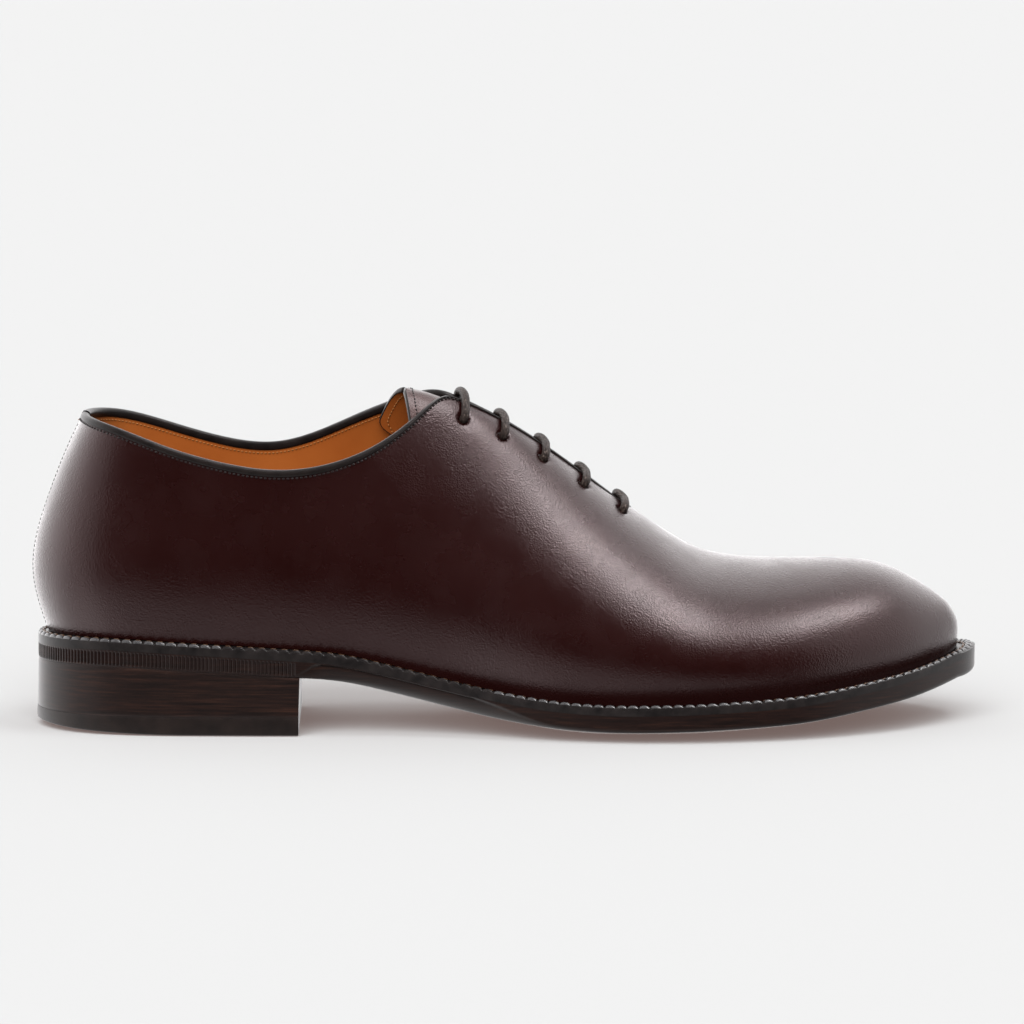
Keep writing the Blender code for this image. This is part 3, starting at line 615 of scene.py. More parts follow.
def half_gap(x):
    """Half the gap between the facings, rounded off at the throat's end."""
    gap = column(THROAT_COLUMNS, THROAT_ROWS, "half_gap", x)
    into = np.clip((x - (THROAT_END - THROAT_END_RADIUS)) / THROAT_END_RADIUS, 0, 1)
    return np.where(x < THROAT_END, gap * np.sqrt(np.maximum(1 - into**2, 0)), -1.0)


def eyelet_x(side, x):
    return x if side == "lateral" else x - LACE_SLANT


def eyelet_place(last, side, x):
    """Centre and outward direction of an eyelet on the outer face."""
    x = eyelet_x(side, x)
    knots, points, slopes = last.ribs(side, [x - 1, x, x + 1])
    top = last.trim(side, [x - 1, x, x + 1])
    share = top - EYELET_REACH / knots[-1]
    step = 1.0 / knots[-1]
    here = cubic_at(knots, points, slopes, share[None] * knots[-1])[0]
    above = cubic_at(knots, points, slopes, (share + step)[None] * knots[-1])[0]
    along = here[2] - here[0]
    across = above[1] - here[1]
    normal = np.cross(along, across)
    normal /= np.linalg.norm(normal)
    return here[1], normal if normal[2] > 0 else -normal


def grid_normals(grid):
    """Normals of a surface grid (levels, stations, 3), taken from its own neighbours."""
    along = np.gradient(grid, axis=1)
    across = np.gradient(grid, axis=0)
    normal = np.cross(along, across)
    return normal / (np.linalg.norm(normal, axis=2)[..., None] + 1e-12)


# Mesh helpers


def link(name, mesh, material, angle=50):
    """Puts a bmesh, in millimetres, into the scene as a piece of the shoe."""
    for vert in mesh.verts:
        vert.co = (vert.co - SHIFT) / 1000
    data = bpy.data.meshes.new(name)
    mesh.to_mesh(data)
    mesh.free()
    data.shade_smooth()
    if angle:
        data.set_sharp_from_angle(angle=math.radians(angle))
    obj = bpy.data.objects.new(name, data)
    bpy.context.scene.collection.objects.link(obj)
    data.materials.append(material)
    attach(obj, "root")
    return obj


def grid_faces(mesh, rows, flip=False):
    for low, high in zip(rows, rows[1:]):
        for k in range(len(low) - 1):
            face = list(dict.fromkeys((low[k], low[k + 1], high[k + 1], high[k])))
            if len(face) > 2:
                mesh.faces.new(face[::-1] if flip else face)


def add_grid(mesh, grid, flip=False):
    rows = [[mesh.verts.new(p) for p in line] for line in grid]
    grid_faces(mesh, rows, flip)
    return rows


def add_rings(mesh, rings):
    """Lines of points joined to each other in a ring, the last one to the first."""
    rows = [[mesh.verts.new(p) for p in ring] for ring in rings]
    grid_faces(mesh, rows + [rows[0]])
    return rows


def add_bands(mesh, bands):
    """Closed lines, each given by its places seen from above and its heights, joined one to the next."""
    rows = [[mesh.verts.new((*p, z)) for p, z in zip(place, height)] for place, height in bands]
    grid_faces(mesh, [row + [row[0]] for row in rows])
    return rows


def smooth_noise(points, scale, seed):
    """A soft random value in -1..1 at each point, from a few crossed waves."""
    random = np.random.default_rng(seed)
    total = np.zeros(points.shape[:-1])
    for octave in range(3):
        for _ in range(4):
            direction = random.normal(size=3)
            direction /= np.linalg.norm(direction)
            phase = random.uniform(0, 2 * math.pi)
            total += np.sin(points @ direction * scale * 1.7**octave + phase) / (1.5**octave)
    return total / 6


def even_path(points, normals, pitch):
    """Points at an even pitch along a line, with tangents and normals."""
    length = lengths_along(points)
    count = max(int(length[-1] / pitch), 2)
    at = np.linspace(0, length[-1], count + 1)
    place = read_at(at, length, points)
    return place, unit(np.gradient(place, axis=0)), unit(read_at(at, length, normals))


def add_tube(mesh, centres, side, up, radii, corners):
    """A short closed tube through centres, with a radius at each."""
    around = np.linspace(0, 2 * math.pi, corners + 1)[:-1]
    rings = []
    for centre, radius in zip(centres, radii):
        ring = [centre + (side * math.cos(a) + up * math.sin(a)) * radius for a in around]
        rings.append([mesh.verts.new(p) for p in ring])
    grid_faces(mesh, [ring + [ring[0]] for ring in rings])
    mesh.faces.new(rings[0][::-1])
    mesh.faces.new(rings[-1])


STITCH_STEPS = (-1, -0.82, -0.4, 0, 0.4, 0.82, 1)


def add_stitches(mesh, points, normals, pitch, length, radius, sink=0.35):
    """Short rounded stitches along a line, half sunk into the leather."""
    for p, t, n in zip(*even_path(points, normals, pitch)):
        side = np.cross(n, t)
        lifts = [radius * (1 - sink) * (1 - 1.6 * step**4) for step in STITCH_STEPS]
        centres = [p + t * step * length / 2 + n * lift for step, lift in zip(STITCH_STEPS, lifts)]
        radii = [radius * math.sqrt(max(1 - abs(step) ** 3, 0.02)) for step in STITCH_STEPS]
        add_tube(mesh, centres, side, n, radii, 6)


# Materials


class Look:
    """A procedural material, built a node at a time."""

    def __init__(self, name, colour, roughness, coat, coat_roughness, specular):
        self.material = bpy.data.materials.new(name)
        self.material.use_nodes = True
        self.tree = self.material.node_tree
        self.shader = self.tree.nodes["Principled BSDF"]
        names = ("Base Color", "Roughness", "Coat Weight", "Coat Roughness", "Specular IOR Level")
        for name, value in zip(names, ((*colour, 1), roughness, coat, coat_roughness, specular)):
            self.shader.inputs[name].default_value = value
        self.place = self.tree.nodes.new("ShaderNodeTexCoord").outputs["Object"]
        self.normal = None

    def node(self, kind, **inputs):
        """A node with its inputs set to values or joined to outputs."""
        made = self.tree.nodes.new(kind)
        for name, value in inputs.items():
            socket = made.inputs[name.replace("_", " ")]
            if isinstance(value, bpy.types.NodeSocket):
                self.tree.links.new(value, socket)
            else:
                socket.default_value = value
        return made

    def noise(self, scale, detail=3, stretch=None, roughness=0.55):
        place = self.place
        if stretch:
            place = self.node("ShaderNodeMapping", Vector=place, Scale=stretch).outputs["Vector"]
        numbers = dict(Scale=scale, Detail=detail, Roughness=roughness)
        return self.node("ShaderNodeTexNoise", Vector=place, **numbers).outputs["Fac"]

    def cells(self, scale):
        return self.node("ShaderNodeTexVoronoi", Vector=self.place, Scale=scale).outputs["Distance"]

    def ramp(self, value, stops):
        made = self.node("ShaderNodeValToRGB", Fac=value)
        elements = made.color_ramp.elements
        for k, (at, colour) in enumerate(stops):
            element = elements[k] if k < 2 else elements.new(at)
            element.position = at
            element.color = (*colour, 1)
        return made.outputs["Color"]

    def ranged(self, value, low, high):
        limits = dict(From_Min=0.3, From_Max=0.7, To_Min=low, To_Max=high)
        return self.node("ShaderNodeMapRange", Value=value, **limits).outputs["Result"]

    def set(self, name, value):
        self.tree.links.new(value, self.shader.inputs[name])

    def bump(self, height, strength, distance):
        made = self.node("ShaderNodeBump", Height=height, Strength=strength, Distance=distance)
        if self.normal:
            self.tree.links.new(self.normal, made.inputs["Normal"])
        self.normal = made.outputs["Normal"]
        self.set("Normal", self.normal)


def calf_look(name, deep, pale, roughness):
    look = Look(name, deep, roughness, 0.10, 0.18, 0.30)
    look.shader.inputs["Specular Tint"].default_value = (1.0, 0.80, 0.81, 1)
    look.set("Base Color", look.ramp(look.noise(34, 4), [(0.32, deep), (0.72, pale)]))
    look.set("Roughness", look.ranged(look.noise(90, 3), roughness - 0.05, roughness + 0.07))
    look.bump(look.noise(45, 3), 0.10, 0.0006)
    look.bump(look.cells(1750), 0.32, 0.00026)
    look.bump(look.noise(1650, 2), 0.32, 0.00020)
    return look.material


LOOKS = {
    # roughness, coat, coat roughness and specular level
    # then the noise that mottles the colour (scale, detail, stretch, roughness) and the colours along it
    # then bumps (scale, detail, strength, depth), where detail 0 means cells and scale 0 the same noise
    "binding": (
        (0.42, 0.04, 0.25, 0.14), (220, 3),
        ((0.3, (0.0020, 0.0015, 0.0014)), (0.7, (0.0045, 0.0032, 0.0029))),
        ((1700, 0, 0.15, 0.0002),),
    ),
    "lining": (
        (0.52, 0.0, 0.2, 0.25), (28, 5),
        ((0.3, (0.100, 0.024, 0.0040)), (0.75, (0.140, 0.040, 0.0078))),
        ((1500, 3, 0.15, 0.0002), (70, 3, 0.12, 0.0008)),
    ),
    "welt": (
        (0.36, 0.02, 0.2, 0.12), (260, 3),
        ((0.3, (0.0028, 0.0024, 0.0024)), (0.75, (0.0070, 0.0058, 0.0056))),
        ((900, 3, 0.2, 0.0002),),
    ),
    "sole_edge": (
        (0.36, 0.04, 0.2, 0.12), (90, 6, (1.0, 1.0, 16.0), 0.68),
        ((0.3, (0.0022, 0.0015, 0.0014)), (0.55, (0.0048, 0.0025, 0.0021)), (0.8, (0.013, 0.0058, 0.0036))),
        ((0, 0, 0.25, 0.00015),),
    ),
    "heel_stack": (
        (0.36, 0.04, 0.22, 0.12), (64, 8, (0.8, 0.8, 22.0), 0.74),
        ((0.33, (0.0022, 0.0017, 0.0016)), (0.5, (0.0048, 0.0028, 0.0024)),
         (0.64, (0.0100, 0.0048, 0.0035)), (0.78, (0.021, 0.0092, 0.0058))),
        ((0, 0, 0.3, 0.00018),),
    ),
    "top_piece": (
        (0.45, 0.0, 0.2, 0.16), (120, 4),
        ((0.3, (0.0030, 0.0022, 0.0020)), (0.75, (0.0065, 0.0044, 0.0038))),
        ((1200, 2, 0.2, 0.0002),),
    ),
    "tread": (
        (0.55, 0.0, 0.2, 0.35), (26, 5, (1, 2.5, 1)),
        ((0.3, (0.040, 0.017, 0.009)), (0.75, (0.090, 0.040, 0.020))),
        ((700, 4, 0.25, 0.0003),),
    ),
    "lace": (
        (0.55, 0.0, 0.2, 0.2), (1900, 2),
        ((0.42, (0.004, 0.0026, 0.0022)), (0.58, (0.012, 0.008, 0.0065)), (0.72, (0.060, 0.048, 0.041))),
        ((3000, 2, 0.3, 0.0002),),
    ),
    # one even colour
    # paler grey for the tops of the welt's bumps: a painted highlight
    "welt_bump_painted_highlight": ((0.30, 0.1, 0.15, 0.5), None, (0.016, 0.0155, 0.016), ((1500, 2, 0.25, 0.0002),)),
    "thread_dark": ((0.5, 0.0, 0.2, 0.3), None, (0.004, 0.003, 0.003), ((4000, 1, 0.3, 0.0001),)),
    "thread_tan": ((0.55, 0.0, 0.2, 0.3), None, (0.110, 0.042, 0.012), ((4000, 1, 0.3, 0.0001),)),
    "thread_welt": ((0.36, 0.0, 0.2, 0.3), None, (0.026, 0.014, 0.008), ((4000, 1, 0.3, 0.0001),)),
}


def make_looks():
    looks = {
        "calf": calf_look("calf", (0.0037, 0.0006, 0.0005), (0.0050, 0.0012, 0.0011), 0.26),
        "tongue_calf": calf_look("tongue_calf", (0.012, 0.006, 0.0055), (0.018, 0.010, 0.009), 0.40),
    }
    for name, (finish, mottle, colours, bumps) in LOOKS.items():
        look = Look(name, colours[0][1] if mottle else colours, *finish)
        if mottle:
            pattern = look.noise(*mottle)
            look.set("Base Color", look.ramp(pattern, colours))
        for scale, detail, strength, depth in bumps:
            if scale:
                pattern = look.noise(scale, detail) if detail else look.cells(scale)
            look.bump(pattern, strength, depth)
        looks[name] = look.material
    return looks


# Upper

# How finely the skin and its lining are drawn
LEVELS, SIDE_STATIONS = 96, 330
LINING_LEVELS, LINING_STATIONS = 44, 150
WELD = 0.004
# Foot of the lining: edges below this are turned in, further round the heel's front than at its back
FOOT_HEIGHT, FOOT_TURN, FOOT_TURN_MORE = 42, 0.85, 0.4
# Unevenness of the leather: size of its waves and their height
WAVE_SCALE, WAVE_HEIGHT = 0.075, 0.16
FADE_LEVELS = 8
# Eyelets: the hole and the hollow round it, each with its depth and radius
HOLE_DEPTH, HOLE_RADIUS = 2.0, 1.62
HOLLOW_DEPTH, HOLLOW_RADIUS = 0.22, 3.6
# Foremost point of the toe: what is redrawn, what it is fitted to, and where it takes over
TIP_REACH, TIP_FIT, TIP_BLEND = 14.0, 7.0, (5.5, 10.5)


def fine_stations(last, count):
    angle = np.linspace(math.pi / 2, 0, count // 8 + 1)[:-1]
    heel = HEEL_ZONE - (HEEL_ZONE - BACK_WALL) * np.sin(angle)
    waist = np.linspace(HEEL_ZONE, TOE_ZONE, count - count // 4 + 1)
    special = [THROAT_END - 0.02, THROAT_END]
    for step in (0.1, 0.25, 0.5, 0.8, 1.2, 1.7, 2.3, 3.0):
        special.append(THROAT_END - step)
    waist = [x for x in waist if min(abs(x - s) for s in special) > 0.25]
    angle = np.linspace(0, math.pi / 2, count // 8 + 1)[1:]
    toe = TOE_ZONE + (last.wall_tip - TOE_ZONE) * np.sin(angle)
    return np.array(sorted(list(heel) + waist + special + list(toe)))


def skin_grids(last, stations, levels):
    """Both sides' grids (levels, stations) from the feather line to the topline, throat or crest."""
    grids = {}
    share = np.linspace(0, 1, levels)
    for side in SIDES:
        grids[side] = last.surface(side, stations, share[:, None] * last.trim(side, stations))
    return grids


def dimple(grid, last, side):
    """Leather drawn in round each eyelet."""
    for x in EYELET_X:
        centre, normal = eyelet_place(last, side, x)
        distance = np.linalg.norm(grid - centre, axis=2)
        depth = HOLE_DEPTH * np.exp(-((distance / HOLE_RADIUS) ** 6))
        depth += HOLLOW_DEPTH * np.exp(-((distance / HOLLOW_RADIUS) ** 2))
        grid -= normal * depth[..., None]
    return grid


def surface_normals(grid, side):
    return grid_normals(grid) * (1 if side == "lateral" else -1)


def ease(grid, side):
    """Slight unevenness of leather pulled over a last."""
    wave = smooth_noise(grid, WAVE_SCALE, 3) * WAVE_HEIGHT
    return grid + surface_normals(grid, side) * wave[..., None]


def round_tip(mesh, tip):
    """Lays the very front of the toe, where the lines of the grid meet, on one smooth curve."""
    near = [vert for vert in mesh.verts if (vert.co - tip).length < TIP_REACH]
    x, y, z = np.array([vert.co - tip for vert in near]).T
    away = np.hypot(y, z)
    squares = (np.ones_like(y), y, z, y * y, y * z, z * z)
    terms = np.column_stack([*squares, y**3, y * y * z, y * z * z, z**3])
    ring = away > TIP_FIT
    curve = terms @ np.linalg.lstsq(terms[ring], x[ring], rcond=None)[0]
    share = smooth_step(away, *TIP_BLEND)
    for vert, forward in zip(near, (1 - share) * curve + share * x):
        vert.co.x = tip.x + float(forward)


def joined_sides(grids, joined):
    """One mesh of both sides, which share their ends and, at joined stations, their top."""
    mesh = bmesh.new()
    first = add_grid(mesh, grids["lateral"])
    rows = []
    for level, line in enumerate(grids["medial"]):
        top = level == len(first) - 1
        row = []
        for k, p in enumerate(line):
            shared = k in (0, len(line) - 1) or (top and joined[k])
            row.append(first[level][k] if shared else mesh.verts.new(p))
        rows.append(row)
    grid_faces(mesh, rows, flip=True)
    bmesh.ops.remove_doubles(mesh, verts=mesh.verts, dist=WELD)
    return mesh


def make_skin(last, looks):
    stations = fine_stations(last, SIDE_STATIONS)
    grids = skin_grids(last, stations, LEVELS)
    fade = np.minimum(np.arange(LEVELS) / FADE_LEVELS, 1)[:, None, None]
    for side, grid in grids.items():
        grids[side] = dimple(grid + (ease(grid, side) - grid) * fade, last, side)
    mesh = joined_sides(grids, stations >= THROAT_END)
    round_tip(mesh, Vector(grids["medial"][-1, -1]))
    skin = link("upper_skin", mesh, looks["calf"], angle=0)
    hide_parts("upper")


def make_lining(last, looks):
    """The lining, a leather's thickness inside the skin, turned in at its foot to meet the insole."""
    stations = fine_stations(last, LINING_STATIONS)
    mesh = joined_sides(skin_grids(last, stations, LINING_LEVELS), stations >= THROAT_END)
    mesh.normal_update()
    moved = [(vert, vert.co - vert.normal * LEATHER) for vert in mesh.verts]
    for vert, place in moved:
        vert.co = place
    lap = Lap(1.0, 1.0)
    edges = [edge for edge in mesh.edges if edge.is_boundary]
    low = [edge for edge in edges if max(vert.co.z for vert in edge.verts) < FOOT_HEIGHT]
    made = bmesh.ops.extrude_edge_only(mesh, edges=low)["geom"]
    for vert in (item for item in made if isinstance(item, bmesh.types.BMVert)):
        near = np.argmin(np.hypot(lap.place[:, 0] - vert.co.x, lap.place[:, 1] - vert.co.y))
        turned_in = FOOT_TURN + FOOT_TURN_MORE * float(smooth_step(vert.co.x, 40.0, 60.0))
        vert.co += Vector((*lap.inward[near], 0)) * turned_in
    bmesh.ops.recalc_face_normals(mesh, faces=mesh.faces)
    lining = link("upper_lining", mesh, looks["lining"], angle=0)


def edge_line(last, side, stations, depth):
    """Points and normals of the surface at a depth below the edge of the leather."""
    top = last.trim(side, stations)
    length = last.rib_length(side, stations)
    share = np.stack([top - (depth + 0.5) / length, top - depth / length, top - (depth - 0.5) / length])
    grid = last.surface(side, stations, share)
    normal = surface_normals(grid, side)
    return grid[1], normal[1]


def edge_stations():
    heel = HEEL_ZONE - (HEEL_ZONE - BACK_WALL) * np.sin(np.linspace(math.pi / 2, 0, 60))
    straight_end = THROAT_END - THROAT_END_RADIUS
    rest = np.linspace(HEEL_ZONE, straight_end, 240)[1:]
    end = straight_end + THROAT_END_RADIUS * np.sin(np.linspace(0, math.pi / 2, 16)[1:-1])
    return np.concatenate([heel, rest, end])


def bead_width(x):
    """Visible outer width of the binding: full round the collar, narrow down the facings."""
    narrow = smooth_step(x, 108.0, 138.0)
    return (1.9 * (1 - narrow) + 0.7 * narrow) * (1 - 0.55 * smooth_step(x, 184.0, 196.0))


# Profile of the binding: its bead outside, its turn over the edge and its fold inside. The first and the
# last give a share of their width and a height over the leather, the turn its distance above the edge.
BEAD = ((1.0, -0.10), (0.97, 0.20), (0.85, 0.40), (0.6, 0.50), (0.35, 0.50), (0.12, 0.36))
TURN = ((0.32, 0.05), (0.55, -0.45), (0.62, -1.0), (0.55, -1.55), (0.32, -2.05))
FOLD = ((0.1, -2.32), (0.5, -2.42), (0.9, -2.36), (1.0, -2.0))
FOLD_WIDTH, FACING_FOLD_WIDTH = 2.2, 1.2


def make_binding(last, looks):
    """The folded strip: proud bead outside, rounded over the edge, and a flat turn inside."""
    stations = edge_stations()
    bead = bead_width(stations)
    narrow = smooth_step(stations, 128, 143)
    fold = FOLD_WIDTH * (1 - narrow) + FACING_FOLD_WIDTH * narrow
    flat = 1 - 0.75 * smooth_step(stations, 178.0, 195.0)
    lines = []
    for side in SIDES:
        top = last.trim(side, stations)
        length = last.rib_length(side, stations)

        def beside(down, lift):
            share = top - np.maximum(down, 0.02) / length
            around = [share - 0.5 / length, share, np.minimum(share + 0.5 / length, top)]
            grid = last.surface(side, stations, np.stack(around))
            return grid[1] + surface_normals(grid, side)[1] * lift[:, None]

        edge = last.surface(side, stations, np.stack([top - 1.2 / length, top - 0.6 / length, top]))
        normal = surface_normals(edge, side)[1]
        up = np.cross(unit(np.gradient(edge[2], axis=0)), normal) * (1 if side == "lateral" else -1)
        up *= np.sign(np.sum(up * (edge[2] - edge[0]), axis=1))[:, None]
        ring = [beside(share * bead, lift * flat) for share, lift in BEAD]
        ring += [edge[2] + up * high + normal * lift for high, lift in TURN]
        ring += [beside(share * fold, lift + 0 * fold) for share, lift in FOLD]
        lines.append(np.stack(ring))
    mesh = bmesh.new()
    add_rings(mesh, np.concatenate([lines[0][:, ::-1], lines[1][:, 1:]], axis=1))
    bmesh.ops.recalc_face_normals(mesh, faces=mesh.faces)
    binding = link("collar_edge", mesh, looks["binding"], angle=60)
    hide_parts("collar_binding")


# Rows of stitches: pitch, length and radius, then where the collar's rows end and how deep they lie
COLLAR_ROW, COLLAR_ROW_END, COLLAR_ROW_DEPTH = (1.45, 1.05, 0.30), 142.0, 0.42
LINING_ROW, LINING_ROW_END, LINING_ROW_DEPTH = (1.3, 0.9, 0.24), 138.0, 3.1
BACK_ROW, BACK_ROW_OFFSET, BACK_ROW_SINK = (1.5, 1.0, 0.15), 1.5, 1.05
TONGUE_ROW = (1.4, 1.0, 0.22)
THREAD_LIFT = 0.02


def make_collar_stitches(last, looks):
    stations = edge_stations()
    mesh, inner = bmesh.new(), bmesh.new()
    for side in SIDES:
        near = stations[stations < COLLAR_ROW_END]
        points, normals = edge_line(last, side, near, bead_width(near) + COLLAR_ROW_DEPTH)
        add_stitches(mesh, points, normals, *COLLAR_ROW)
        points, normals = edge_line(last, side, stations[stations < LINING_ROW_END], LINING_ROW_DEPTH)
        add_stitches(inner, points - normals * (LEATHER + THREAD_LIFT), -normals, *LINING_ROW)
    row = link("collar_stitches", mesh, looks["thread_dark"], angle=0)
    row = link("lining_stitches", inner, looks["thread_tan"], angle=0)


def make_back_seam(last, looks):
    """A row of stitches on each side of the seam up the back of the heel."""
    mesh = bmesh.new()
    stations = fine_stations(last, SIDE_STATIONS)[:30]
    levels = np.arange(4, 113)
    for side, grid in skin_grids(last, stations, 120).items():
        normal = surface_normals(grid, side)
        reach = np.cumsum(np.linalg.norm(np.diff(grid, axis=1), axis=2), axis=1)
        beside = np.array([np.searchsorted(reach[level], BACK_ROW_OFFSET) + 1 for level in levels])
        add_stitches(mesh, grid[levels, beside], normal[levels, beside], *BACK_ROW, sink=BACK_ROW_SINK)
    row = link("back_seam_stitches", mesh, looks["thread_dark"], angle=0)


# Tongue


def tongue_sheet(last, along_steps, across_steps):
    along = np.linspace(0, 1, along_steps)
    across = np.linspace(-1, 1, across_steps)
    grid = np.zeros((across_steps, along_steps, 3))
    for j, v in enumerate(across):
        side = "lateral" if v < 0 else "medial"
        reach = abs(v) * TONGUE_HALF_WIDTH
        end = TONGUE_TIP_X - (TONGUE_SLANT_MEDIAL if v > 0 else TONGUE_SLANT_LATERAL) * reach
        end += TONGUE_CORNER * max(abs(v) - 0.7, 0) ** 2 / 0.09
        x = TONGUE_ROOT_X + (end - TONGUE_ROOT_X) * along
        knots, points, slopes = last.ribs(side, x)
        grid[j] = cubic_at(knots, points, slopes, np.maximum(knots[-1] - reach, 0)[None])[0]
    normal = grid_normals(grid)
    normal *= np.sign(normal[..., 2:3])
    return grid - normal * (LEATHER + TONGUE_DROP), normal


def make_tongue(last, looks):
    outer, normal = tongue_sheet(last, 110, 61)
    inner = outer - normal * TONGUE_THICKNESS
    mesh = bmesh.new()
    add_grid(mesh, outer, flip=True)
    bmesh.ops.recalc_face_normals(mesh, faces=mesh.faces)
    piece = link("tongue_face", mesh, looks["tongue_calf"], angle=0)
    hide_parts("tongue")
    mesh = bmesh.new()
    add_grid(mesh, inner)
    piece = link("tongue_lining", mesh, looks["lining"], angle=0)

    def free_edge(grid):
        return np.concatenate([grid[0, 30:], grid[1:, -1], grid[-1, 30:-1][::-1]])

    def seam(grid):
        return np.concatenate([grid[3, 30:108], grid[4:-4, -4], grid[-4, 30:108][::-1]])

    rim, rim_in, rim_normal = free_edge(outer), free_edge(inner), free_edge(normal)
    centre = (rim + rim_in) / 2
    side = unit(np.cross(unit(np.gradient(centre, axis=0)), rim_normal))
    side *= np.sign(np.sum(side * (centre - outer[30, 60]), axis=1))[:, None]
    mesh = bmesh.new()
    rings = []
    for a in np.linspace(0, 2 * math.pi, 13)[:-1]:
        across = side * (0.45 * math.cos(a))
        rings.append(centre + across + rim_normal * ((TONGUE_THICKNESS / 2 + 0.08) * math.sin(a)))
    add_rings(mesh, rings)
    bmesh.ops.recalc_face_normals(mesh, faces=mesh.faces)
    piece = link("tongue_edge", mesh, looks["binding"], angle=0)
    line, line_n = seam(outer), seam(normal)
    mesh, back = bmesh.new(), bmesh.new()
    add_stitches(mesh, line, line_n, *TONGUE_ROW)
    add_stitches(back, line - line_n * (TONGUE_THICKNESS + THREAD_LIFT), -line_n, *TONGUE_ROW)
    piece = link("tongue_stitches", mesh, looks["thread_dark"], angle=0)
    piece = link("tongue_lining_stitches", back, looks["thread_tan"], angle=0)


# Laces

STRANDS = 8
LACE_CORE, STRAND_HEIGHT = 1.24, 0.15
LACE_RIDE = 1.38
LACE_STEP = 0.16
LACE_TWIST = 2.5
FIRST_ARCH = 0.4


def lace_route(last, x, arch):
    """The middle line of one bar, out of one eyelet, over the throat and into the other."""
    route = []
    for side in SIDES:
        centre, normal = eyelet_place(last, side, x)
        base_x = eyelet_x(side, x)
        knots, ribs, slopes = last.ribs(side, [base_x])
        top = last.trim(side, [base_x])
        points = [centre - normal * 3.4, centre - normal * 1.4, centre + normal * 0.5]
        for reach, height in ((0.80, 0.95), (0.60, 1.0), (0.38, 1.0), (0.14, 1.0)):
            at = top * knots[-1] - EYELET_REACH * reach
            here = cubic_at(knots, ribs, slopes, at[None])[0, 0]
            points.append(here + normal * (LACE_RIDE * height + arch * (1 - reach) ** 1.5))
        route.append(points)
    return np.array(route[0] + route[1][::-1])


def make_laces(last, looks):
    for number, x in enumerate(EYELET_X):
        line = curve_through(lace_route(last, x, FIRST_ARCH if number == 0 else 0.0))
        length = lengths_along(line)
        at = np.linspace(0, length[-1], int(length[-1] / LACE_STEP))
        line = read_at(at, length, line)
        tangent = unit(np.gradient(line, axis=0))
        side = unit(np.cross(tangent, (1.0, 0.0, 0.2)))
        up = np.cross(side, tangent)
        mesh = bmesh.new()
        rings = []
        for a in np.linspace(0, 2 * math.pi, 41)[:-1]:
            # strands that wind left and right, whichever lies over the other here
            left = (STRANDS * a + at * LACE_TWIST) / 2
            right = (STRANDS * a - at * LACE_TWIST) / 2
            over = np.sin(left) * np.sin(right) > 0
            radius = LACE_CORE + STRAND_HEIGHT * np.abs(np.sin(np.where(over, left, right)))
            rings.append(line + (side * math.cos(a) + up * math.sin(a)) * radius[:, None])
        rows = add_rings(mesh, rings)
        mesh.faces.new([row[0] for row in rows])
        mesh.faces.new([row[-1] for row in rows])
        bmesh.ops.recalc_face_normals(mesh, faces=mesh.faces)
        bar = link(f"lace_{number + 1}", mesh, looks["lace"], angle=70)
        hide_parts(f"lace_bar_{number + 1}")


# Sole


class Lap:
    """Points once round the sole's outline, out along the outer side and back along the inner one.

    They are heel_step apart round the heel and step apart further on.
    """

    def __init__(self, heel_step, step):
        outline = closed_curve_through(OUTLINE)
        outline = np.roll(outline, -int(np.argmin(outline[:, 0])), axis=0)
        outline = np.concatenate([outline, outline[:1]])
        tangent = np.roll(outline[:-1], -1, axis=0) - np.roll(outline[:-1], 1, axis=0)
        tangent = unit(np.concatenate([tangent, tangent[:1]]))
        length = lengths_along(outline)
        tip = length[np.argmax(outline[:, 0])]
        self.total = length[-1]
        heel = length[np.argmax(outline[:, 0] > HEEL_BREAST_X + 4)]
        dense = np.arange(0, heel, heel_step)
        rest = np.linspace(heel, tip, int((tip - heel) / step) + 1)
        lateral = np.concatenate([dense, rest])
        medial = tip + (self.total - tip) * (1 - lateral / tip)
        self.half = len(lateral)
        self.along = np.concatenate([lateral, medial[1:-1][::-1]])
        self.place = read_at(self.along, length, outline)
        tangent = read_at(self.along, length, tangent)
        self.inward = np.stack([-tangent[:, 1], tangent[:, 0]], axis=1)
        self.share = smooth_step(self.place[:, 1], -6.0, 6.0)

    def inset(self, distance):
        """The lap moved inwards by distance(side, x) or by one distance for each point."""
        if callable(distance):
            x = self.place[:, 0]
            distance = distance("lateral", x) * (1 - self.share) + distance("medial", x) * self.share
        return self.place + self.inward * distance[:, None]


WELT_PITCH = 3.7
WELT_TUCK = 1.2
# How far the worked rim steps in at the toe
TOE_RIM_INSET = 0.9
# Height and sideways reach of the bump between two stitches
BUMP_HEIGHT, BUMP_BASE, BUMP_REACH = 0.95, 0.66, 0.22
# Rows of the welt's profile, and the least swell of a bump, where the bump tops get the painted highlight
PAINTED_HIGHLIGHT_ROWS, PAINTED_HIGHLIGHT_SWELL = (3, 7), 0.62
# Round the arch, between these x, the bumps get no painted highlight and keep the welt's dark colour
ARCH = (62, 150)
WELT_PROFILE = (
    # share of the way in, height over the top or None for the bottom, share of the bump
    (0.0, None, 0.0), (0.0, -2.7, 0.0), (0.0, -1.1, 0.0), (0.012, -0.72, 0.2), (0.04, -0.38, 0.9),
    (0.09, -0.10, 1.0), (0.15, 0.02, 1.0), (0.22, 0.02, 1.0), (0.29, -0.08, 0.9), (0.36, -0.22, 0.5),
    (0.44, -0.30, 0.2), (0.56, -0.20, 0.0), (0.75, -0.05, 0.0), (1.0, 0.0, 0.0),
)


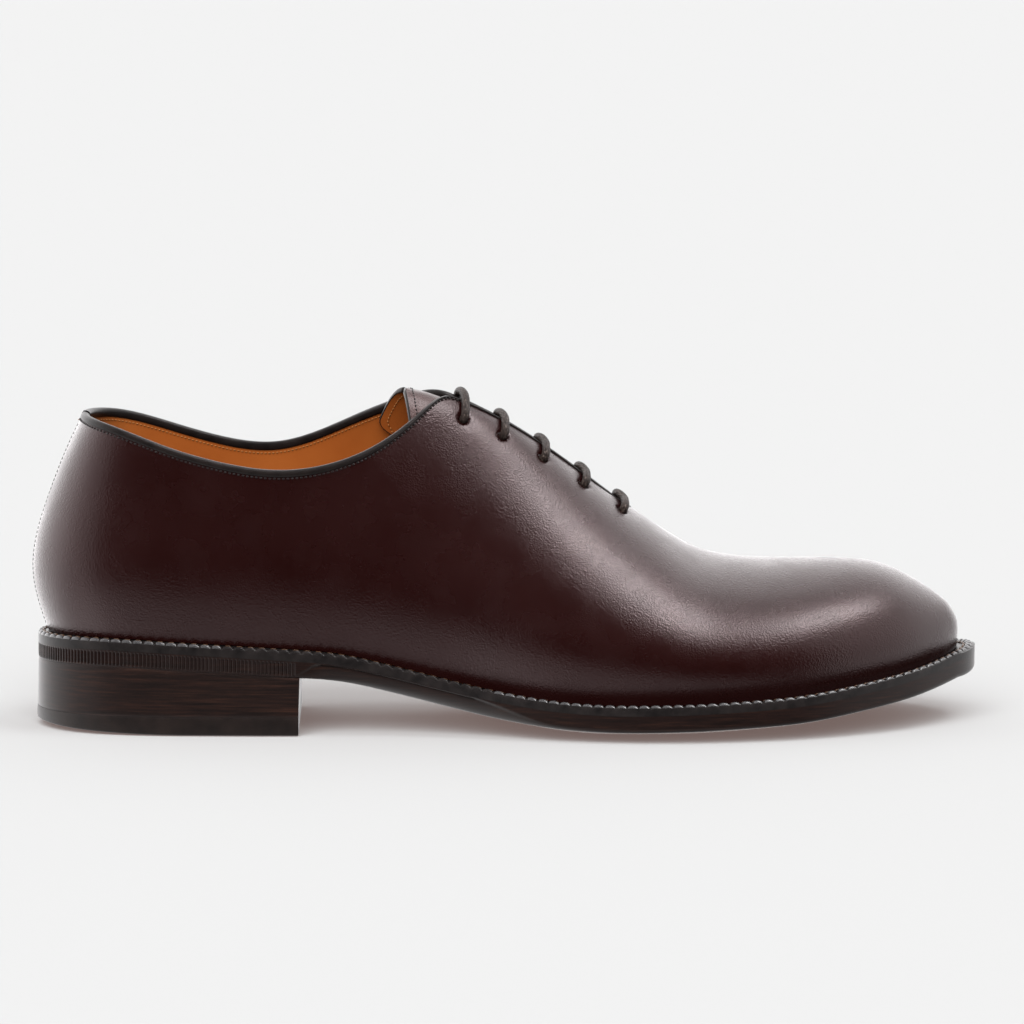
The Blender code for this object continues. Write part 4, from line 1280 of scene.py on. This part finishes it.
def make_welt(looks):
    """The welt, wheeled across between its stitches, and the stitches."""
    lap = Lap(0.34, 0.34)
    turns = round(lap.total / WELT_PITCH)
    phase = lap.along / lap.total * turns * 2 * math.pi
    swell = np.abs(np.sin(phase / 2)) ** 0.42
    inner = lap.inset(lambda side, x: feather_inset(side, x) + WELT_TUCK)
    outer = lap.place
    toe = TOE_RIM_INSET * smooth_step(outer[:, 0], 285, 308)
    bands = []
    for share, height, part in WELT_PROFILE:
        above = height is not None and height > -1.0
        place = outer + (inner - outer) * share
        place = place + lap.inward * (toe * above - BUMP_REACH * swell * part + 0.16 * part)[:, None]
        if height is None:
            z = welt_bottom(place[:, 0], place[:, 1]) - FIT_GAP
        else:
            z = welt_top(place[:, 0], place[:, 1]) + height + part * (BUMP_HEIGHT * swell - BUMP_BASE)
        bands.append((place, z))
    mesh = bmesh.new()
    add_bands(mesh, bands)
    bmesh.ops.recalc_face_normals(mesh, faces=mesh.faces)
    welt = link("welt_strip", mesh, looks["welt"], angle=60)
    # A second, paler grey material on the tops of the bumps paints their highlight. It is left off round
    # the arch.
    welt.data.materials.append(looks["welt_bump_painted_highlight"])
    for face in welt.data.polygons:
        row, k = divmod(face.index, len(lap.along))
        on_bump = PAINTED_HIGHLIGHT_ROWS[0] <= row <= PAINTED_HIGHLIGHT_ROWS[1] and swell[k] > PAINTED_HIGHLIGHT_SWELL
        if on_bump and not ARCH[0] < outer[k, 0] < ARCH[1]:
            face.material_index = 1
    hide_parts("welt")
    middle = outer + (inner - outer) * 0.40 + lap.inward * toe[:, None]
    points = np.column_stack([middle, welt_top(middle[:, 0], middle[:, 1]) - 0.30])
    points = np.concatenate([points, points[:1]])
    along = np.append(lap.along, lap.total)
    at = (np.arange(turns) + 0.5) / turns * lap.total
    mesh = bmesh.new()
    steps = np.linspace(-1, 1, 9)
    radii = [0.46 * math.sqrt(max(1 - abs(step) ** 4, 0.03)) for step in steps]
    for p, q in zip(read_at(at, along, points), read_at(at + 1.0, along, points)):
        tangent = (q - p) / np.linalg.norm(q - p)
        side = np.cross((0, 0, 1.0), tangent)
        up = np.cross(tangent, side)
        centres = [p + tangent * step * 1.25 + up * (0.22 - 0.40 * step**4) for step in steps]
        add_tube(mesh, centres, side, up, radii, 8)
    bmesh.ops.recalc_face_normals(mesh, faces=mesh.faces)
    row = link("welt_stitches", mesh, looks["thread_welt"], angle=0)


RIB_PITCH = 1.28
RIB_DEPTH = 0.42
WAIST_STEP = 0.9


# Heights of the lines round the sole's edge, as shares of its thickness
EDGE_RISES = (
    1.04, 0.97, 0.93, 0.89, 0.85, 0.78, 0.7, 0.62, 0.54, 0.46, 0.38, 0.32, 0.27, 0.23, 0.20, 0.165,
    0.13, 0.10, 0.07, 0.04, 0.015, 0.0,
)


def make_outsole(looks):
    """The outsole: ribbed round the heel, set in and rounded under at the waist, full at the forepart."""
    lap = Lap(0.21, 0.8)
    x = lap.place[:, 0]
    bevel = column(SOLE_COLUMNS, SOLE_ROWS, "edge_bevel", x)
    behind = x - HEEL_BREAST_X
    heel = 1 - smooth_step(behind, -2.0, 0.0)
    waist = smooth_step(behind, -2, 8) * (1 - smooth_step(x, 144, 170))
    face = 0.24 + 0.70 * smooth_step(behind, -1, 7) * (1 - smooth_step(x, 143, 168))
    turns = round(lap.total / RIB_PITCH)
    groove = ((1 + np.cos(lap.along / lap.total * turns * 2 * math.pi)) / 2) ** 2
    bands = []
    for rise in EDGE_RISES:
        round_under = np.sqrt(np.maximum(1 - np.clip((face - rise) / face, 0, 1) ** 2, 0))
        inset = 0.03 + bevel * (1 - round_under)
        inset = inset + WAIST_STEP * waist * smooth_step(face - rise, -0.02, 0.05)
        ribbed = float(smooth_step(rise, 0.06, 0.16) * (1 - smooth_step(rise, 0.86, 0.94)))
        inset = inset + heel * RIB_DEPTH * ribbed * groove
        place = lap.inset(inset)
        bands.append((place, sole_bottom(place[:, 0], place[:, 1]) + rise * OUTSOLE_THICKNESS))
    mesh = bmesh.new()
    rows = add_bands(mesh, bands)
    # the last line is the rim of the underside, which is filled from its outer to its inner half
    indices = list(range(len(place)))
    outward, back = indices[: lap.half], [0] + indices[lap.half:][::-1] + [lap.half - 1]
    lateral, medial = [rows[-1][k] for k in outward], [rows[-1][k] for k in back]
    low, high = place[outward], place[back]
    columns = [lateral]
    for part in np.linspace(0, 1, 15)[1:-1]:
        place = low + (high - low) * part
        z = sole_bottom(place[:, 0], place[:, 1])
        inside = [mesh.verts.new((*p, h)) for p, h in zip(place[1:-1], z[1:-1])]
        columns.append([lateral[0]] + inside + [lateral[-1]])
    columns.append(medial)
    grid_faces(mesh, columns)
    bmesh.ops.recalc_face_normals(mesh, faces=mesh.faces)
    sole = link("outsole_edge", mesh, looks["sole_edge"], angle=50)
    sole.data.materials.append(looks["tread"])
    for face in sole.data.polygons:
        if face.normal.z < -0.93:
            face.material_index = 1
    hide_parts("outsole")


def heel_block(name, look, layers, steps=420):
    """A heel part from layers (inset function, height function, breast x), from the top down."""
    bands = []
    for inset, height, front in layers:
        sides = inset_outline(inset)
        xs = from_round_end(sides["lateral"][0, 0], front, steps)
        outer = np.stack([xs, along_side(sides, "lateral", xs)], axis=1)
        inner = np.stack([xs, along_side(sides, "medial", xs)], axis=1)[1:][::-1]
        lap = np.concatenate([outer, inner])
        bands.append((lap, height(lap[:, 0], lap[:, 1])))
    mesh = bmesh.new()
    rows = add_bands(mesh, bands)
    for row, flip in ((rows[0], False), (rows[-1], True)):
        grid_faces(mesh, [row[: steps + 1], [row[0]] + row[steps + 1:][::-1]], flip)
    bmesh.ops.recalc_face_normals(mesh, faces=mesh.faces)
    return link(name, mesh, look, angle=40)


# Outline of the stack from its top down: share of its height, and how far it is set in there
STACK_LINES = (
    (1.0, 0.22), (0.985, 0.12), (0.95, 0.05),
    *((share, 0.0) for share in np.linspace(0.9, 0.06, 7)),
    (0.01, 0.03), (0.0, 0.12),
)


def make_heel(looks):
    base = lambda x, y: TOP_PIECE_THICKNESS + 0.0 * x
    between = lambda part: lambda x, y: base(x, y) + (sole_bottom(x, y) - base(x, y)) * part
    even = lambda inset: lambda side, x: inset + 0.0 * x
    layers = []
    for part, inset in STACK_LINES:
        flare = 0.15 + HEEL_FLARE * (1 - part)
        front = HEEL_BREAST_X + HEEL_BREAST_RAKE * part * 0.5
        layers.append((even(inset + 0.2 - flare), between(part), front))
    stack = heel_block("heel_stack", looks["heel_stack"], layers)
    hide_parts("heel_lift_1", "heel_lift_2", "heel_lift_3")
    spring = lambda up: lambda x, y: HEEL_SPRING * np.clip(1 - x / HEEL_SPRING_LENGTH, 0, 1) ** 2 + up
    under = lambda down: lambda x, y: base(x, y) - down
    proud = lambda inset: lambda side, x: -0.42 - 0.15 * (1 - smooth_step(x, 6, 30)) + inset
    layers = [
        (proud(0.22), under(0.0), HEEL_BREAST_X),
        (proud(0.12), under(0.25), HEEL_BREAST_X),
        (proud(0.0), under(1.2), HEEL_BREAST_X),
        (proud(0.0), spring(0.6), HEEL_BREAST_X),
        (proud(0.08), spring(0.22), HEEL_BREAST_X - 0.1),
        (proud(0.35), spring(0.0), HEEL_BREAST_X - 0.3),
    ]
    top = heel_block("heel_top_piece", looks["top_piece"], layers)
    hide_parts("top_piece")


def dress_nodes(looks):
    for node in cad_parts.values():
        if node.name == "insole":
            node.data.materials.clear()
            node.data.materials.append(looks["lining"])


add_camera()
add_surroundings()
looks = make_looks()
last = Last()
make_skin(last, looks)
make_lining(last, looks)
make_binding(last, looks)
make_collar_stitches(last, looks)
make_back_seam(last, looks)
make_tongue(last, looks)
make_laces(last, looks)
make_welt(looks)
make_outsole(looks)
make_heel(looks)
dress_nodes(looks)
